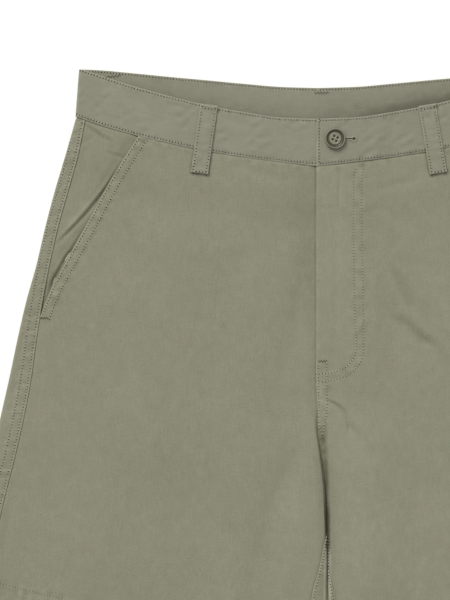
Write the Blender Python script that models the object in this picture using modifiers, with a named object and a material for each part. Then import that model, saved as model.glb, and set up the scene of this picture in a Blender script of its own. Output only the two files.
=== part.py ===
"""Chino shorts laid flat with their front side up.

The tables and the functions below are in millimetres, and MM turns them to metres. +Z is up, +Y
runs from the hems to the waist, and +X is the wearer's left, which a viewer from above has on
the right. The cloth is described for one half of the garment, by x, the distance from the
centre line, and y. Both halves are made from it: side is -1 for the wearer's right half and +1
for the left one. Each piece is a sheet on the middle of its cloth, which is then given its
thickness.
"""

import math
from collections import namedtuple

import bmesh
import bpy
import numpy as np
from mathutils import Vector

MM = 0.001

# Wall thicknesses, and the gap between two pieces.
CLOTH = 1.0
BAND = 2.0
STRAP = 1.2
TAPE = 0.8
GAP = 0.3

# Heights of the middles of the walls. Back, pocket bag, pocket facing and front lie on each
# other. Near the waist they all rise, so that the back's belt loops fit under the waistband.
LAYER = CLOTH + GAP
BACK_Z = CLOTH / 2
BAG_Z = BACK_Z + LAYER
FACING_Z = BACK_Z + 2 * LAYER
FRONT_Z = BACK_Z + 3 * LAYER
WAIST_RISE = STRAP + GAP
WAIST_RISE_START = 52.0
WAIST_RISE_END = 24.0
BAND_BACK_Z = WAIST_RISE + BAND / 2
BAND_FRONT_Z = FRONT_Z + WAIST_RISE + (BAND - CLOTH) / 2

# The waistband. Its left end laps over its right one, which runs on under it.
BAND_WIDTH = 36.5
HALF_WAIST = 193.4
BAND_TOP_HALF_WAIST = 190.5
UNDERLAP = 38.0
OVERLAP_RISE = BAND + GAP
OVERLAP_LEVEL_X = 42.0
OVERLAP_END_X = 62.0

# The fly.
FLY_EDGE_X = -1.4
FLY_BOTTOM_Y = -3.0
FLY_RISE = 1.4
FLY_RISE_DEPTH = 30.0
SHIELD_IN = 8.0
SHIELD_OUT = 37.0
SHIELD_NARROWING = 16.0
SHIELD_NARROWING_START = 0.75
SHIELD_TOP_DROP = 4.0
ZIP_X = 1.0
ZIP_WIDTH = 24.0
ZIP_LENGTH = 150.0

# Side corner, hem and crotch.
SIDE_TOP_Y = 246.5
SIDE_SEAM_TOP_Y = 208.2
CORNER_START = 0.8
HEM_INNER_Y = -246.4
HEM_RISE = 59.2
HEM_STRAIGHTNESS = 0.7
SLIT_TOP_Y = -28.0
SLIT_FULL_Y = -52.0
FORK_TOP_Y = -126.0
FORK_FULL_Y = -140.0
FORK_NOTCH = 1.0
FORK_NOTCH_LENGTH = 30.0
LEAN = 7.6
LEAN_TOP_Y = -8.0
LEAN_FULL_Y = -104.0
LEAN_REACH = 70.0
CROTCH_BULGE = 1.0
CROTCH_BULGE_REACH = 24.0
CROTCH_BULGE_TOP_Y = -20.0
CROTCH_BULGE_FULL_Y = -80.0
INNER_STRIP = 5.0

# The slanted pockets, by shares of the way from the waist seam to the hem.
POCKET_BOTTOM_Y = 48.0
FACING_BOTTOM = 0.44
FACING_UNDER_FRONT = 24.0
FACING_LEDGE = 6.0
FACING_RISE_NEAR = 3.0
FACING_RISE_FAR = 14.0
BAG_BOTTOM = 0.50
BAG_IN_FROM_SEAM = 4.0

# The button and its hole.
BUTTON_X = 14.0
BUTTON_Y = 190.2
BUTTON_RADIUS = 8.2
BUTTON_THICKNESS = 3.0
BUTTON_HOLE_CIRCLE = 2.1
BUTTON_HOLE_RADIUS = 0.95
BUTTON_TURN = math.radians(18)
SHANK_RADIUS = 1.0
BUTTONHOLE_START_X = 12.0
BUTTONHOLE_END_X = 30.5
BUTTONHOLE_WIDTH = 2.8

# How many faces the walls are divided into.
LENGTH_STEPS = 20
TOP_SHARE = 0.0008
CROTCH_ROW_CLEARANCE = 0.02
FRONT_STEPS = 11
BACK_STEPS = 9
FOLD_STEPS = 5
WRAP_STEPS = 2
BAND_STEPS = 12
POCKET_STEPS = 9
POCKET_STEPS_ACROSS = 6
FLY_STEPS = 10
ROUND_STEPS = 24

OLIVE = (0.256, 0.250, 0.181, 1.0)
OLIVE_TAPE = (0.175, 0.168, 0.120, 1.0)
OLIVE_THREAD = (0.150, 0.146, 0.100, 1.0)
POCKETING = (0.360, 0.340, 0.270, 1.0)
BUTTON_BROWN = (0.210, 0.190, 0.135, 1.0)

# The waist, from the centre out to the side: the waistband's top and bottom edges in front,
# and its top edge behind, which stands higher.
WaistRow = namedtuple("WaistRow", "x front_top front_seam back_top")
WAIST = [
    WaistRow(0, 206.4, 168.3, 231.6),
    WaistRow(30, 207.5, 171.9, 232.5),
    WaistRow(60, 211.9, 175.8, 235.0),
    WaistRow(90, 217.4, 180.6, 237.8),
    WaistRow(120, 224.5, 187.0, 240.5),
    WaistRow(150, 232.7, 194.2, 243.4),
    WaistRow(180, 242.4, 203.1, 246.0),
    WaistRow(HALF_WAIST, SIDE_TOP_Y, SIDE_SEAM_TOP_Y, SIDE_TOP_Y),
]

# Down the side: the fold at the outline, and the side seam, which lies on the front.
SideRow = namedtuple("SideRow", "y fold_x seam_x")
SIDE = [
    SideRow(208, 193.4, 185.8),
    SideRow(180, 201.4, 191.3),
    SideRow(150, 210.5, 199.6),
    SideRow(120, 218.4, 208.0),
    SideRow(90, 225.4, 214.8),
    SideRow(60, 233.8, 220.6),
    SideRow(30, 240.7, 225.3),
    SideRow(0, 247.0, 229.3),
    SideRow(-30, 253.8, 234.9),
    SideRow(-60, 260.5, 241.5),
    SideRow(-100, 269.2, 251.7),
    SideRow(-150, 279.8, 261.9),
    SideRow(-200, 290.0, 271.5),
]

# Down the slanted pocket: its mouth, and the bag's inner edge.
PocketRow = namedtuple("PocketRow", "y mouth_x bag_x")
POCKET = [
    PocketRow(193, 143.5, 98),
    PocketRow(158, 165.6, 97),
    PocketRow(123, 184.7, 98),
    PocketRow(92, 201.8, 103),
    PocketRow(66, 215.5, 113),
    PocketRow(48, 222.0, 126),
    PocketRow(20, 226.6, 156),
    PocketRow(-10, 231.0, 205),
]

# Down the middle: half of the gap between the two sides, and how far the front's inner edge,
# which is the inseam, has come over the inner fold onto the front. A negative run is still
# down in the fold.
MiddleRow = namedtuple("MiddleRow", "y half_gap right_run left_run")
MIDDLE = [
    MiddleRow(170, 0.0, -6.0, -6.0),
    MiddleRow(-28, 0.0, -5.4, -5.4),
    MiddleRow(-50, 2.6, -5.2, -5.2),
    MiddleRow(-75, 2.1, -5.0, -5.0),
    MiddleRow(-106, 1.9, -4.6, -4.2),
    MiddleRow(-130, 1.7, -1.0, -3.0),
    MiddleRow(-150, 1.6, 2.8, -2.0),
    MiddleRow(-178, 2.2, 6.8, 3.0),
    MiddleRow(-212, 5.0, 10.0, 7.0),
    MiddleRow(-247, 10.0, 12.0, 9.0),
]

# Belt loops, by the middles of their ends. Those on the back lie under the waistband.
LOOP_WIDTH = 14.0
LOOP_STEPS = 8
LOOP_END_START = 0.7
LOOP_END_DROP = 0.7
LoopRow = namedtuple("LoopRow", "name top_x top_y bottom_x bottom_y on_front")
LOOPS = [
    LoopRow("loop_front_right", -87.0, 217.6, -94.8, 162.8, True),
    LoopRow("loop_front_left", 87.0, 217.6, 96.2, 162.8, True),
    LoopRow("loop_back_right", -164.5, 245.2, -161.5, 190.0, False),
    LoopRow("loop_back_left", 164.5, 245.2, 161.5, 190.0, False),
    LoopRow("loop_back_centre", 2.0, 232.2, 2.0, 177.0, False),
]


def mix(a, b, share):
    return a + (b - a) * share


def smoothstep(start, end, value):
    """0 at start, 1 at end, and level at both."""
    share = min(max((value - start) / (end - start), 0.0), 1.0)
    return share * share * (3 - 2 * share)


def shares(count, start=0.0, end=1.0):
    return [mix(start, end, i / count) for i in range(count + 1)]


def curve(table, column, at):
    """A smooth curve through one column of a table, read at a value of its first column."""
    keys = np.array([row[0] for row in table], float)
    values = np.array([getattr(row, column) for row in table], float)
    if keys[0] > keys[-1]:
        keys, values = keys[::-1], values[::-1]
    chords = np.diff(values) / np.diff(keys)
    before = np.concatenate((chords[:1], chords))
    after = np.concatenate((chords, chords[-1:]))
    turns_back = before * after <= 0
    total = np.where(turns_back, 1.0, before + after)
    slopes = np.where(turns_back, 0.0, 2 * before * after / total)
    at = float(np.clip(at, keys[0], keys[-1]))
    i = int(np.clip(np.searchsorted(keys, at) - 1, 0, len(keys) - 2))
    step = keys[i + 1] - keys[i]
    s = (at - keys[i]) / step
    rise = values[i + 1] - values[i]
    bend = (1 - s) * slopes[i] - s * slopes[i + 1]
    return float(values[i] + s * s * (3 - 2 * s) * rise + s * (1 - s) * bend * step)


# The half garment's outline. Its rows go down from the waist seam (t = 0) to the hem (t = 1),
# and each runs from the inner edge (q = 0) out to the side fold (q = 1).


def fold_y(t):
    return mix(SIDE_SEAM_TOP_Y, HEM_INNER_Y + HEM_RISE, t)


def fold_x(t):
    return curve(SIDE, "fold_x", fold_y(t))


def hem_y(q):
    return HEM_INNER_Y + HEM_RISE * mix(q * q, q, HEM_STRAIGHTNESS)


def back_seam_y(q):
    """The back's waist seam, which comes down to the front's at the side."""
    high = curve(WAIST, "back_top", q * HALF_WAIST) - BAND_WIDTH
    return mix(high, SIDE_SEAM_TOP_Y, smoothstep(CORNER_START, 1.0, q))


def row_y(q, t, on_back=False):
    seam = back_seam_y(q) if on_back else curve(WAIST, "front_seam", q * HALF_WAIST)
    return mix(seam, hem_y(q), t)


def half_gap(t):
    return curve(MIDDLE, "half_gap", row_y(0.0, t))


def inseam_run(t, side):
    return curve(MIDDLE, "right_run" if side < 0 else "left_run", row_y(0.0, t))


def row_x(q, t):
    return mix(half_gap(t), fold_x(t), q)


def row_q(x, t):
    return (x - half_gap(t)) / (fold_x(t) - half_gap(t))


def q_at(edge_x, t):
    """Where row t meets an edge whose x is a function of y."""
    low, high = 0.0, 1.0
    for _ in range(30):
        q = (low + high) / 2
        if row_x(q, t) < edge_x(row_y(q, t)):
            low = q
        else:
            high = q
    return q


def side_seam_x(y):
    return curve(SIDE, "seam_x", y)


def front_outer_x(y):
    """The front's outer edge: the pocket's mouth, and below it the side seam."""
    seam = side_seam_x(y)
    return min(seam, curve(POCKET, "mouth_x", y)) if y > POCKET_BOTTOM_Y else seam


def waist_rise(x, y, on_back=False):
    seam = back_seam_y(x / HALF_WAIST) if on_back else curve(WAIST, "front_seam", x)
    return WAIST_RISE * smoothstep(WAIST_RISE_START, WAIST_RISE_END, seam - y)


def back_z(x, y):
    return BACK_Z + waist_rise(x, y, on_back=True)


def overlap_share(x):
    """1 where the left half lies over the right one's underlap, falling to 0 beside it."""
    return smoothstep(OVERLAP_END_X, OVERLAP_LEVEL_X, x)


def front_z(x, y, side):
    """The front stands up a little along both sides of the crotch, and on the left by the fly."""
    z = FRONT_Z + waist_rise(x, y)
    across = math.exp(-((x / CROTCH_BULGE_REACH) ** 2))
    z += CROTCH_BULGE * across * smoothstep(CROTCH_BULGE_TOP_Y, CROTCH_BULGE_FULL_Y, y)
    if side > 0:
        below_seam = curve(WAIST, "front_seam", x) - y
        z += FLY_RISE * overlap_share(x) * smoothstep(FLY_RISE_DEPTH, 0.0, below_seam)
    return z


def place(x, y, z, side):
    """A point of the half garment in the whole one, where the crotch leans to the left."""
    share = smoothstep(LEAN_TOP_Y, LEAN_FULL_Y, y) * math.exp(-((x / LEAN_REACH) ** 2))
    return (side * x + LEAN * share, y, z)


# Materials, and sheets that get their thickness from a modifier.


def material(name, colour, roughness):
    found = bpy.data.materials.get(name)
    if found is None:
        found = bpy.data.materials.new(name)
        found.use_nodes = True
        shader = found.node_tree.nodes["Principled BSDF"]
        shader.inputs["Base Color"].default_value = colour
        shader.inputs["Roughness"].default_value = roughness
        shader.inputs["Metallic"].default_value = 0.0
        found.diffuse_color = colour
    return found


def cotton_twill():
    return material("cotton_twill", OLIVE, 0.9)


def add_object(name, mesh, finish, parent):
    obj = bpy.data.objects.new(name, mesh)
    obj.data.materials.append(finish)
    parent.users_collection[0].objects.link(obj)
    obj.parent = parent
    return obj


def sheet(name, rows, thickness, finish, parent):
    """A sheet through rows of points, each row with as many points as the last."""
    bm = bmesh.new()
    grid = [[bm.verts.new(Vector(point) * MM) for point in row] for row in rows]
    for upper, lower in zip(grid, grid[1:]):
        for i in range(len(upper) - 1):
            bm.faces.new((upper[i], upper[i + 1], lower[i + 1], lower[i]))
    mesh = bpy.data.meshes.new(name)
    bm.to_mesh(mesh)
    bm.free()
    obj = add_object(name, mesh, finish, parent)
    solid = obj.modifiers.new("thickness", "SOLIDIFY")
    solid.thickness = thickness * MM
    solid.offset = 0.0
    solid.use_even_offset = True
    return obj


# Fronts and backs.


def panel_levels():
    """The rows of a front or a back: even down the leg, with some of their own at the crotch."""
    top = row_y(0.0, 0.0)
    crotch_ys = shares(2, SLIT_TOP_Y, SLIT_FULL_Y) + shares(2, FORK_TOP_Y, FORK_FULL_Y)
    crotch = [(top - y) / (top - HEM_INNER_Y) for y in crotch_ys]
    even = shares(LENGTH_STEPS, TOP_SHARE)
    apart = [t for t in even if min(abs(t - c) for c in crotch) > CROTCH_ROW_CLEARANCE]
    return sorted(apart + crotch)


def inner_fold(t, side):
    """The radius and the height of the bottom of the fold along the inner leg."""
    x, y = half_gap(t), row_y(0.0, t)
    low = back_z(x, y)
    return (front_z(x, y, side) - low) / 2, low


def inner_fold_point(run, t, side):
    """x and z at a run onto the front from the top of the inner fold, or down round the fold."""
    radius, low = inner_fold(t, side)
    angle = max(0.0, -run / radius)
    x = half_gap(t) + radius * (1 - math.sin(angle)) + max(0.0, run)
    return x, low + radius * (1 + math.cos(angle))


def front_panel(name, side, parent):
    """From the fly or the inseam out to the pocket's mouth and the side seam."""
    flat_edge = FLY_EDGE_X if side > 0 else GAP - FLY_EDGE_X
    rows = []
    for t in panel_levels():
        slit = smoothstep(SLIT_TOP_Y, SLIT_FULL_Y, row_y(0.0, t))
        run = inseam_run(t, side) + GAP / 2
        run_end = max(0.0, run) + INNER_STRIP
        x_end = half_gap(t) + inner_fold(t, side)[0] + run_end
        row = []
        for share in shares(FOLD_STEPS + 1):
            x_flat = mix(flat_edge, x_end, share)
            x_fold, z_fold = inner_fold_point(mix(run, run_end, share), t, side)
            x = mix(x_flat, x_fold, slit)
            y = row_y(row_q(x, t), t)
            row.append(place(x, y, mix(front_z(x_flat, y, side), z_fold, slit), side))
        q_end = q_at(lambda y: front_outer_x(y) - GAP / 2, t)
        for q in shares(FRONT_STEPS, row_q(x_end, t), q_end)[1:]:
            x, y = row_x(q, t), row_y(q, t)
            row.append(place(x, y, front_z(x, y, side), side))
        rows.append(row)
    return sheet(name, rows, CLOTH, cotton_twill(), parent)


def back_panel(name, side, parent):
    """From the seat seam or the inseam, under the leg, round the side fold to the side seam."""
    rows = []
    for t in panel_levels():
        inner_y = row_y(0.0, t)
        fork = smoothstep(FORK_TOP_Y, FORK_FULL_Y, inner_y)
        notch = smoothstep(FORK_TOP_Y + FORK_NOTCH_LENGTH, FORK_TOP_Y, inner_y)
        flat_edge = GAP / 2 + FORK_NOTCH * notch
        radius = inner_fold(t, side)[0]
        reach = half_gap(t) + radius
        run_start, run_end = inseam_run(t, side) - GAP / 2, -math.pi * radius
        row = []
        for share in shares(FOLD_STEPS + WRAP_STEPS):
            x_flat = mix(flat_edge, reach, share)
            x_fold, z_fold = inner_fold_point(mix(run_start, run_end, share), t, side)
            x = mix(x_flat, x_fold, fork)
            q = row_q(x, t)
            y = mix(row_y(q, t, on_back=True), row_y(q, t), fork)
            row.append(place(x, y, mix(back_z(x, y), z_fold, fork), side))

        edge_x, edge_y = fold_x(t), fold_y(t)
        low = back_z(edge_x, edge_y)
        radius = (front_z(edge_x, edge_y, side) - low) / 2
        q_turn = row_q(edge_x - radius, t)
        for q in shares(BACK_STEPS, row_q(reach, t), q_turn)[1:]:
            x, y = row_x(q, t), row_y(q, t, on_back=True)
            row.append(place(x, y, back_z(x, y), side))
        for angle in shares(FOLD_STEPS, 0.0, math.pi)[1:]:
            x = edge_x - radius * (1 - math.sin(angle))
            y = mix(row_y(q_turn, t, on_back=True), row_y(q_turn, t), angle / math.pi)
            row.append(place(x, y, low + radius * (1 - math.cos(angle)), side))
        q_seam = q_at(lambda y: side_seam_x(y) + GAP / 2, t)
        for q in shares(WRAP_STEPS, q_turn, q_seam)[1:]:
            x, y = row_x(q, t), row_y(q, t)
            row.append(place(x, y, front_z(x, y, side), side))
        rows.append(row)
    return sheet(name, rows, CLOTH, cotton_twill(), parent)


# The waistband and its belt loops.


def band_point(x, across, on_back=False):
    """x and y on the waistband, across it from its seam (0) to its top edge (1)."""
    x = abs(x)
    low = back_seam_y(x / HALF_WAIST) if on_back else curve(WAIST, "front_seam", x)
    high = curve(WAIST, "back_top" if on_back else "front_top", x)
    narrowing = mix(1.0, BAND_TOP_HALF_WAIST / HALF_WAIST, across)
    return x * narrowing, mix(low + GAP / 2, high, across)


def waistband(name, side, parent):
    """From the centre of the back, round the side fold, to the centre of the front."""
    radius = (BAND_FRONT_Z - BAND_BACK_Z) / 2
    turn_x = HALF_WAIST - radius
    front_end = FLY_EDGE_X if side > 0 else -UNDERLAP
    rows = []
    for across in shares(3):
        row = []
        for along in shares(BAND_STEPS, GAP / 2, turn_x):
            x, y = band_point(along, across, on_back=True)
            row.append(place(x, y, BAND_BACK_Z, side))
        x, y_front = band_point(turn_x, across)
        for angle in shares(FOLD_STEPS, 0.0, math.pi)[1:-1]:
            z = BAND_BACK_Z + radius * (1 - math.cos(angle))
            turned_y = mix(y, y_front, angle / math.pi)
            row.append(place(x + radius * math.sin(angle), turned_y, z, side))
        for along in shares(BAND_STEPS + WRAP_STEPS, turn_x, front_end):
            x, y = band_point(along, across)
            rise = OVERLAP_RISE * overlap_share(x) if side > 0 else 0.0
            row.append(place(math.copysign(x, along), y, BAND_FRONT_Z + rise, side))
        rows.append(row)
    return sheet(name, rows, BAND, cotton_twill(), parent)


def belt_loop(loop, parent):
    """A folded strap across the waistband, sewn down at both ends."""
    top = Vector((loop.top_x, loop.top_y))
    bottom = Vector((loop.bottom_x, loop.bottom_y))
    across = (bottom - top).normalized().orthogonal() * LOOP_WIDTH
    over_band = BAND_FRONT_Z + BAND / 2 + GAP + STRAP / 2
    rows = []
    for share in shares(LOOP_STEPS):
        z = over_band - LOOP_END_DROP * smoothstep(LOOP_END_START, 1.0, share)
        if not loop.on_front:
            z = STRAP / 2
        points = [top.lerp(bottom, share) + across * offset for offset in (-0.5, 0.0, 0.5)]
        rows.append([(point.x, point.y, z) for point in points])
    return sheet(loop.name, rows, STRAP, cotton_twill(), parent)


# What lies between the front and the back.


def pocket_facing(name, side, parent):
    """The side piece inside the pocket's mouth, which reaches in under the front."""
    rows = []
    for t in shares(POCKET_STEPS, TOP_SHARE, FACING_BOTTOM):
        q_seam = q_at(lambda y: side_seam_x(y) - GAP / 2, t)
        q_in = q_at(
            lambda y: min(side_seam_x(y) - FACING_LEDGE, curve(POCKET, "mouth_x", y))
            - FACING_UNDER_FRONT,
            t,
        )
        row = []
        for q in shares(POCKET_STEPS_ACROSS, q_in, q_seam):
            x, y = row_x(q, t), row_y(q, t)
            mouth, seam = front_outer_x(y), side_seam_x(y)
            past_mouth = smoothstep(mouth + FACING_RISE_NEAR, mouth + FACING_RISE_FAR, x)
            at_seam = smoothstep(seam - FACING_RISE_FAR, seam - FACING_RISE_NEAR, x)
            z = FACING_Z + waist_rise(x, y) + LAYER * past_mouth * at_seam
            row.append(place(x, y, z, side))
        rows.append(row)
    return sheet(name, rows, CLOTH, cotton_twill(), parent)


def pocket_bag(name, side, parent):
    """The two layers of the bag, which lie together under the front and the facing."""
    rows = []
    for t in shares(POCKET_STEPS, TOP_SHARE, BAG_BOTTOM):
        q_seam = q_at(lambda y: side_seam_x(y) - BAG_IN_FROM_SEAM, t)
        q_in = q_at(lambda y: curve(POCKET, "bag_x", y), t)
        row = []
        for q in shares(POCKET_STEPS_ACROSS, q_in, q_seam):
            x, y = row_x(q, t), row_y(q, t)
            row.append(place(x, y, BAG_Z + waist_rise(x, y), side))
        rows.append(row)
    return sheet(name, rows, CLOTH, material("pocketing", POCKETING, 0.9), parent)


def fly_shield(parent):
    """The under flap of the fly, which is sewn to the right front and lies behind the zip."""
    top = curve(WAIST, "front_seam", 0.0) - SHIELD_TOP_DROP
    rows = []
    for share in shares(FLY_STEPS):
        y = mix(top, FLY_BOTTOM_Y, share)
        outer = SHIELD_OUT - SHIELD_NARROWING * smoothstep(SHIELD_NARROWING_START, 1.0, share)
        row = [(x, y, BAG_Z + waist_rise(abs(x), y)) for x in shares(4, -SHIELD_IN, outer)]
        rows.append(row)
    return sheet("fly_shield", rows, CLOTH, cotton_twill(), parent)


def fly_zip(parent):
    """The closed zip, which lies hidden between the under flap and the fly."""
    top = curve(WAIST, "front_seam", 0.0) - SHIELD_TOP_DROP - 1.0
    level = FACING_Z - (CLOTH - TAPE) / 2
    rows = []
    for y in shares(FLY_STEPS, top, top - ZIP_LENGTH):
        rows.append([(x, y, level + waist_rise(x, y)) for x in shares(2, ZIP_X, ZIP_X + ZIP_WIDTH)])
    return sheet("fly_zip", rows, TAPE, material("zip_tape", OLIVE_TAPE, 0.7), parent)


# The button and its hole.


def turned(name, profile, finish, parent):
    """A round body from its outline, as radius and height from its top to its bottom."""
    mesh = bpy.data.meshes.new(name)
    points = [(radius * MM, 0.0, height * MM) for radius, height in profile]
    mesh.from_pydata(points, [(i, i + 1) for i in range(len(points) - 1)], [])
    obj = add_object(name, mesh, finish, parent)
    screw = obj.modifiers.new("turn", "SCREW")
    screw.steps = ROUND_STEPS
    screw.render_steps = ROUND_STEPS
    screw.use_merge_vertices = True
    screw.merge_threshold = 0.00001
    return obj


def cutter(name, bm, location, parent):
    mesh = bpy.data.meshes.new(name)
    bm.to_mesh(mesh)
    bm.free()
    obj = bpy.data.objects.new(name, mesh)
    bpy.data.collections["cutters"].objects.link(obj)
    obj.parent = parent
    obj.location = Vector(location) * MM
    obj.hide_render = True
    obj.display_type = "WIRE"
    return obj


def cut(obj, tool):
    modifier = obj.modifiers.new("cut_" + tool.name, "BOOLEAN")
    modifier.operation = "DIFFERENCE"
    modifier.object = tool


def button(parent):
    """A disc with a rounded rim, a groove inside it, a sunk middle and four holes."""
    top = BUTTON_THICKNESS
    profile = [
        (0.0, top - 1.0),
        (4.6, top - 1.0),
        (5.6, top - 1.1),
        (6.4, top - 0.2),
        (7.2, top),
        (7.8, top - 0.3),
        (BUTTON_RADIUS, top - 1.0),
        (BUTTON_RADIUS - 0.5, top - 2.0),
        (5.0, 0.0),
        (0.0, 0.0),
    ]
    low = BAND_FRONT_Z + OVERLAP_RISE + BAND / 2 + GAP
    obj = turned("button", profile, material("button_plastic", BUTTON_BROWN, 0.35), parent)
    obj.location = Vector((BUTTON_X, BUTTON_Y, low)) * MM
    for corner in range(4):
        angle = BUTTON_TURN + corner * math.pi / 2
        x = BUTTON_X + BUTTON_HOLE_CIRCLE * math.cos(angle)
        y = BUTTON_Y + BUTTON_HOLE_CIRCLE * math.sin(angle)
        bm = bmesh.new()
        radius = BUTTON_HOLE_RADIUS * MM
        depth = 3 * BUTTON_THICKNESS * MM
        bmesh.ops.create_cone(
            bm, cap_ends=True, segments=10, radius1=radius, radius2=radius, depth=depth
        )
        cut(obj, cutter(f"button_hole_{corner}", bm, (x, y, low), parent))
    return obj


def button_shank(parent):
    """The wound thread that holds the button, through its hole, to the underlap."""
    low = BAND_FRONT_Z + BAND / 2 + GAP
    high = low + BAND
    profile = [(0.0, high), (SHANK_RADIUS, high), (SHANK_RADIUS, low), (0.0, low)]
    obj = turned("button_shank", profile, material("thread", OLIVE_THREAD, 0.8), parent)
    obj.location = Vector((BUTTON_X, BUTTON_Y, 0.0)) * MM
    return obj


def cut_buttonhole(band, parent):
    length = BUTTONHOLE_END_X - BUTTONHOLE_START_X
    middle = (BUTTONHOLE_START_X + BUTTONHOLE_END_X) / 2
    bm = bmesh.new()
    bmesh.ops.create_cube(bm, size=MM)
    bmesh.ops.scale(bm, vec=(length, BUTTONHOLE_WIDTH, 3 * BAND), verts=bm.verts)
    location = (middle, BUTTON_Y, BAND_FRONT_Z + OVERLAP_RISE)
    cut(band, cutter("buttonhole", bm, location, parent))


def build():
    for obj in list(bpy.data.objects):
        bpy.data.objects.remove(obj)
    for name in ("chino_shorts", "cutters"):
        bpy.context.scene.collection.children.link(bpy.data.collections.new(name))
    parent = bpy.data.objects.new("shorts_frame", None)
    bpy.data.collections["chino_shorts"].objects.link(parent)

    for half, side in (("right", -1), ("left", 1)):
        front_panel("front_" + half, side, parent)
        back_panel("back_" + half, side, parent)
        pocket_facing("pocket_facing_" + half, side, parent)
        pocket_bag("pocket_bag_" + half, side, parent)
        band = waistband("waistband_" + half, side, parent)
        if side > 0:
            cut_buttonhole(band, parent)
    for loop in LOOPS:
        belt_loop(loop, parent)
    fly_shield(parent)
    fly_zip(parent)
    button(parent)
    button_shank(parent)


build()
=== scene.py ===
"""Chino shorts laid flat with their front side up: the finished cloth, seams and button.

The solids that this look is built around come from model.glb. The tables and the functions below
are in millimetres, and MM turns them to metres. +Z is up, +Y runs from the hems to the waist, and
+X is the wearer's left. The cloth is described for one half of the garment, by x, the distance
from the centre line, and y. Both halves are made from it: side is -1 for the wearer's right half
and +1 for the left one. Each piece is a grid of points on the middle of its cloth, which shell()
closes into a thin wall with rounded edges.
"""

import math
from collections import namedtuple

import bmesh
import bpy
import numpy as np
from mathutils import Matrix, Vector
from mathutils.bvhtree import BVHTree


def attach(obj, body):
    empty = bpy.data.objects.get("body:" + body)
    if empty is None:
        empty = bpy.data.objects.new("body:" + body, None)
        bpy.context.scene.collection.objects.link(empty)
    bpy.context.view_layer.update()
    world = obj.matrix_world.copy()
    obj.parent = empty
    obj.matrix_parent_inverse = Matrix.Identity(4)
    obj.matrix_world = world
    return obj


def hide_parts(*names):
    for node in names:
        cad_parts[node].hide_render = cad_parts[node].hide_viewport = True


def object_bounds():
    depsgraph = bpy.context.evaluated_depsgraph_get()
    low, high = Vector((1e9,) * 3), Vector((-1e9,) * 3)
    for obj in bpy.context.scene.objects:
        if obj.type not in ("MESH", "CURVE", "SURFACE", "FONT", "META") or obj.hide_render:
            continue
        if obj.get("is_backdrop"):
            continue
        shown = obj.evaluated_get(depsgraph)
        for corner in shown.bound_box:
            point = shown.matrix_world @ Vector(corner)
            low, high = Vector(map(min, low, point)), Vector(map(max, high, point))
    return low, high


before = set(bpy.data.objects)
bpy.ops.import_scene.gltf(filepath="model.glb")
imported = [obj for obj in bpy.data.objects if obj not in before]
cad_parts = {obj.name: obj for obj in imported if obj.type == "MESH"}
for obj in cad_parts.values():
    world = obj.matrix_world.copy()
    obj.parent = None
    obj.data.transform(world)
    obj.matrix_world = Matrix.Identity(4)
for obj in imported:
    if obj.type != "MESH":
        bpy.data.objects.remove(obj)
CAD_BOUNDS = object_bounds()

bl_info = {
    "name": "Chino shorts, laid flat",
    "version": (1, 0, 0),
    "blender": (4, 5, 0),
    "location": "View3D > Sidebar > Shorts",
    "description": "Builds the cloth, seams, stitches and button of a pair of chino shorts",
    "category": "Add Mesh",
}

MM = 0.001
ROOT = "root"
SIDES = {-1: "right", 1: "left"}


def table(columns, rows):
    """Rows with named columns. The last column is 0 where a row leaves it out."""
    kind = namedtuple("Row", columns, defaults=(0.0,))
    return [kind(*row) for row in rows]


# Heights of the middles of the cloth. They lie inside the solids' walls.
BACK_Z = 0.45
BAG_Z = 1.8
FACING_Z = 3.1
FRONT_Z = 4.4
WAIST_RISE = 1.5
WAIST_RISE_START = 52.0
WAIST_RISE_END = 24.0
BAND_BACK_Z = 2.35
BAND_FRONT_Z = 6.2

# The waistband. Its left end laps over its right one, which runs on under it.
BAND_WIDTH = 36.5
HALF_WAIST = 193.4
BAND_TOP_HALF_WAIST = 190.5
BAND_THICKNESS = 1.5
BAND_ROW_TOP = 1.5
BAND_ROW_BOTTOM = 2.0
BAND_ROW_END = 2.2
BAND_TURN_LENGTH = 6.0
UNDERLAP = 38.0
# How much lighter (above 0) or darker each half is drawn, outside and inside. Inside, the lower
# values add to the painted shade.
BAND_TONE_AND_SHADE = {-1: (0.04, -0.08), 1: (-0.12, -0.20)}
OVERLAP_RISE = 1.6
OVERLAP_LEVEL_X = 42.0
OVERLAP_END_X = 62.0

# The fly and the seam below it, which has the left front on top.
FLY_EDGE_X = -1.4
FLY_BOTTOM_Y = -3.0
FLY_RISE = 1.55
FLY_RISE_DEPTH = 30.0
CROTCH_SEAM_TOP_Y = 13.0
CROTCH_ROWS = (1.5, 8.3)
CROTCH_ROWS_END_Y = -46.0
SHIELD_IN = 8.0
SHIELD_OUT = 37.0
SHIELD_TOP_DROP = 4.0
ZIP_X = 1.0
ZIP_WIDTH = 24.0
ZIP_LENGTH = 150.0

# Side corner, hem and crotch.
SIDE_TOP_Y = 246.5
SIDE_SEAM_TOP_Y = 208.2
CORNER_START = 0.8
HEM_INNER_Y = -246.4
HEM_RISE = 59.2
HEM_STRAIGHTNESS = 0.7
HEM_DEPTH = 29.2
HEM_TURN = 0.42
HEM_TURN_ROWS = 5
SLIT_TOP_Y = -14.0
SLIT_FULL_Y = -50.0
FORK_TOP_Y = -118.0
FORK_FULL_Y = -134.0
FORK_LAG = 10.0
LEAN = 7.6
LEAN_TOP_Y = 2.0
LEAN_FULL_Y = -118.0
LEAN_REACH = 70.0
BULGE_TOP_Y = -14.0
BULGE_FULL_Y = -75.0
BULGE_FADE_Y = -120.0
BULGE_END_Y = -330.0

# The soft bulges beside the crotch, on the right leg and on the left one: how far from the
# centre, how far to each side they reach, and how high they are.
Bulge = namedtuple("Bulge", "x reach height")
BULGES = {-1: Bulge(7.0, 24.0, 2.4), 1: Bulge(34.0, 27.0, 3.2)}

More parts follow.
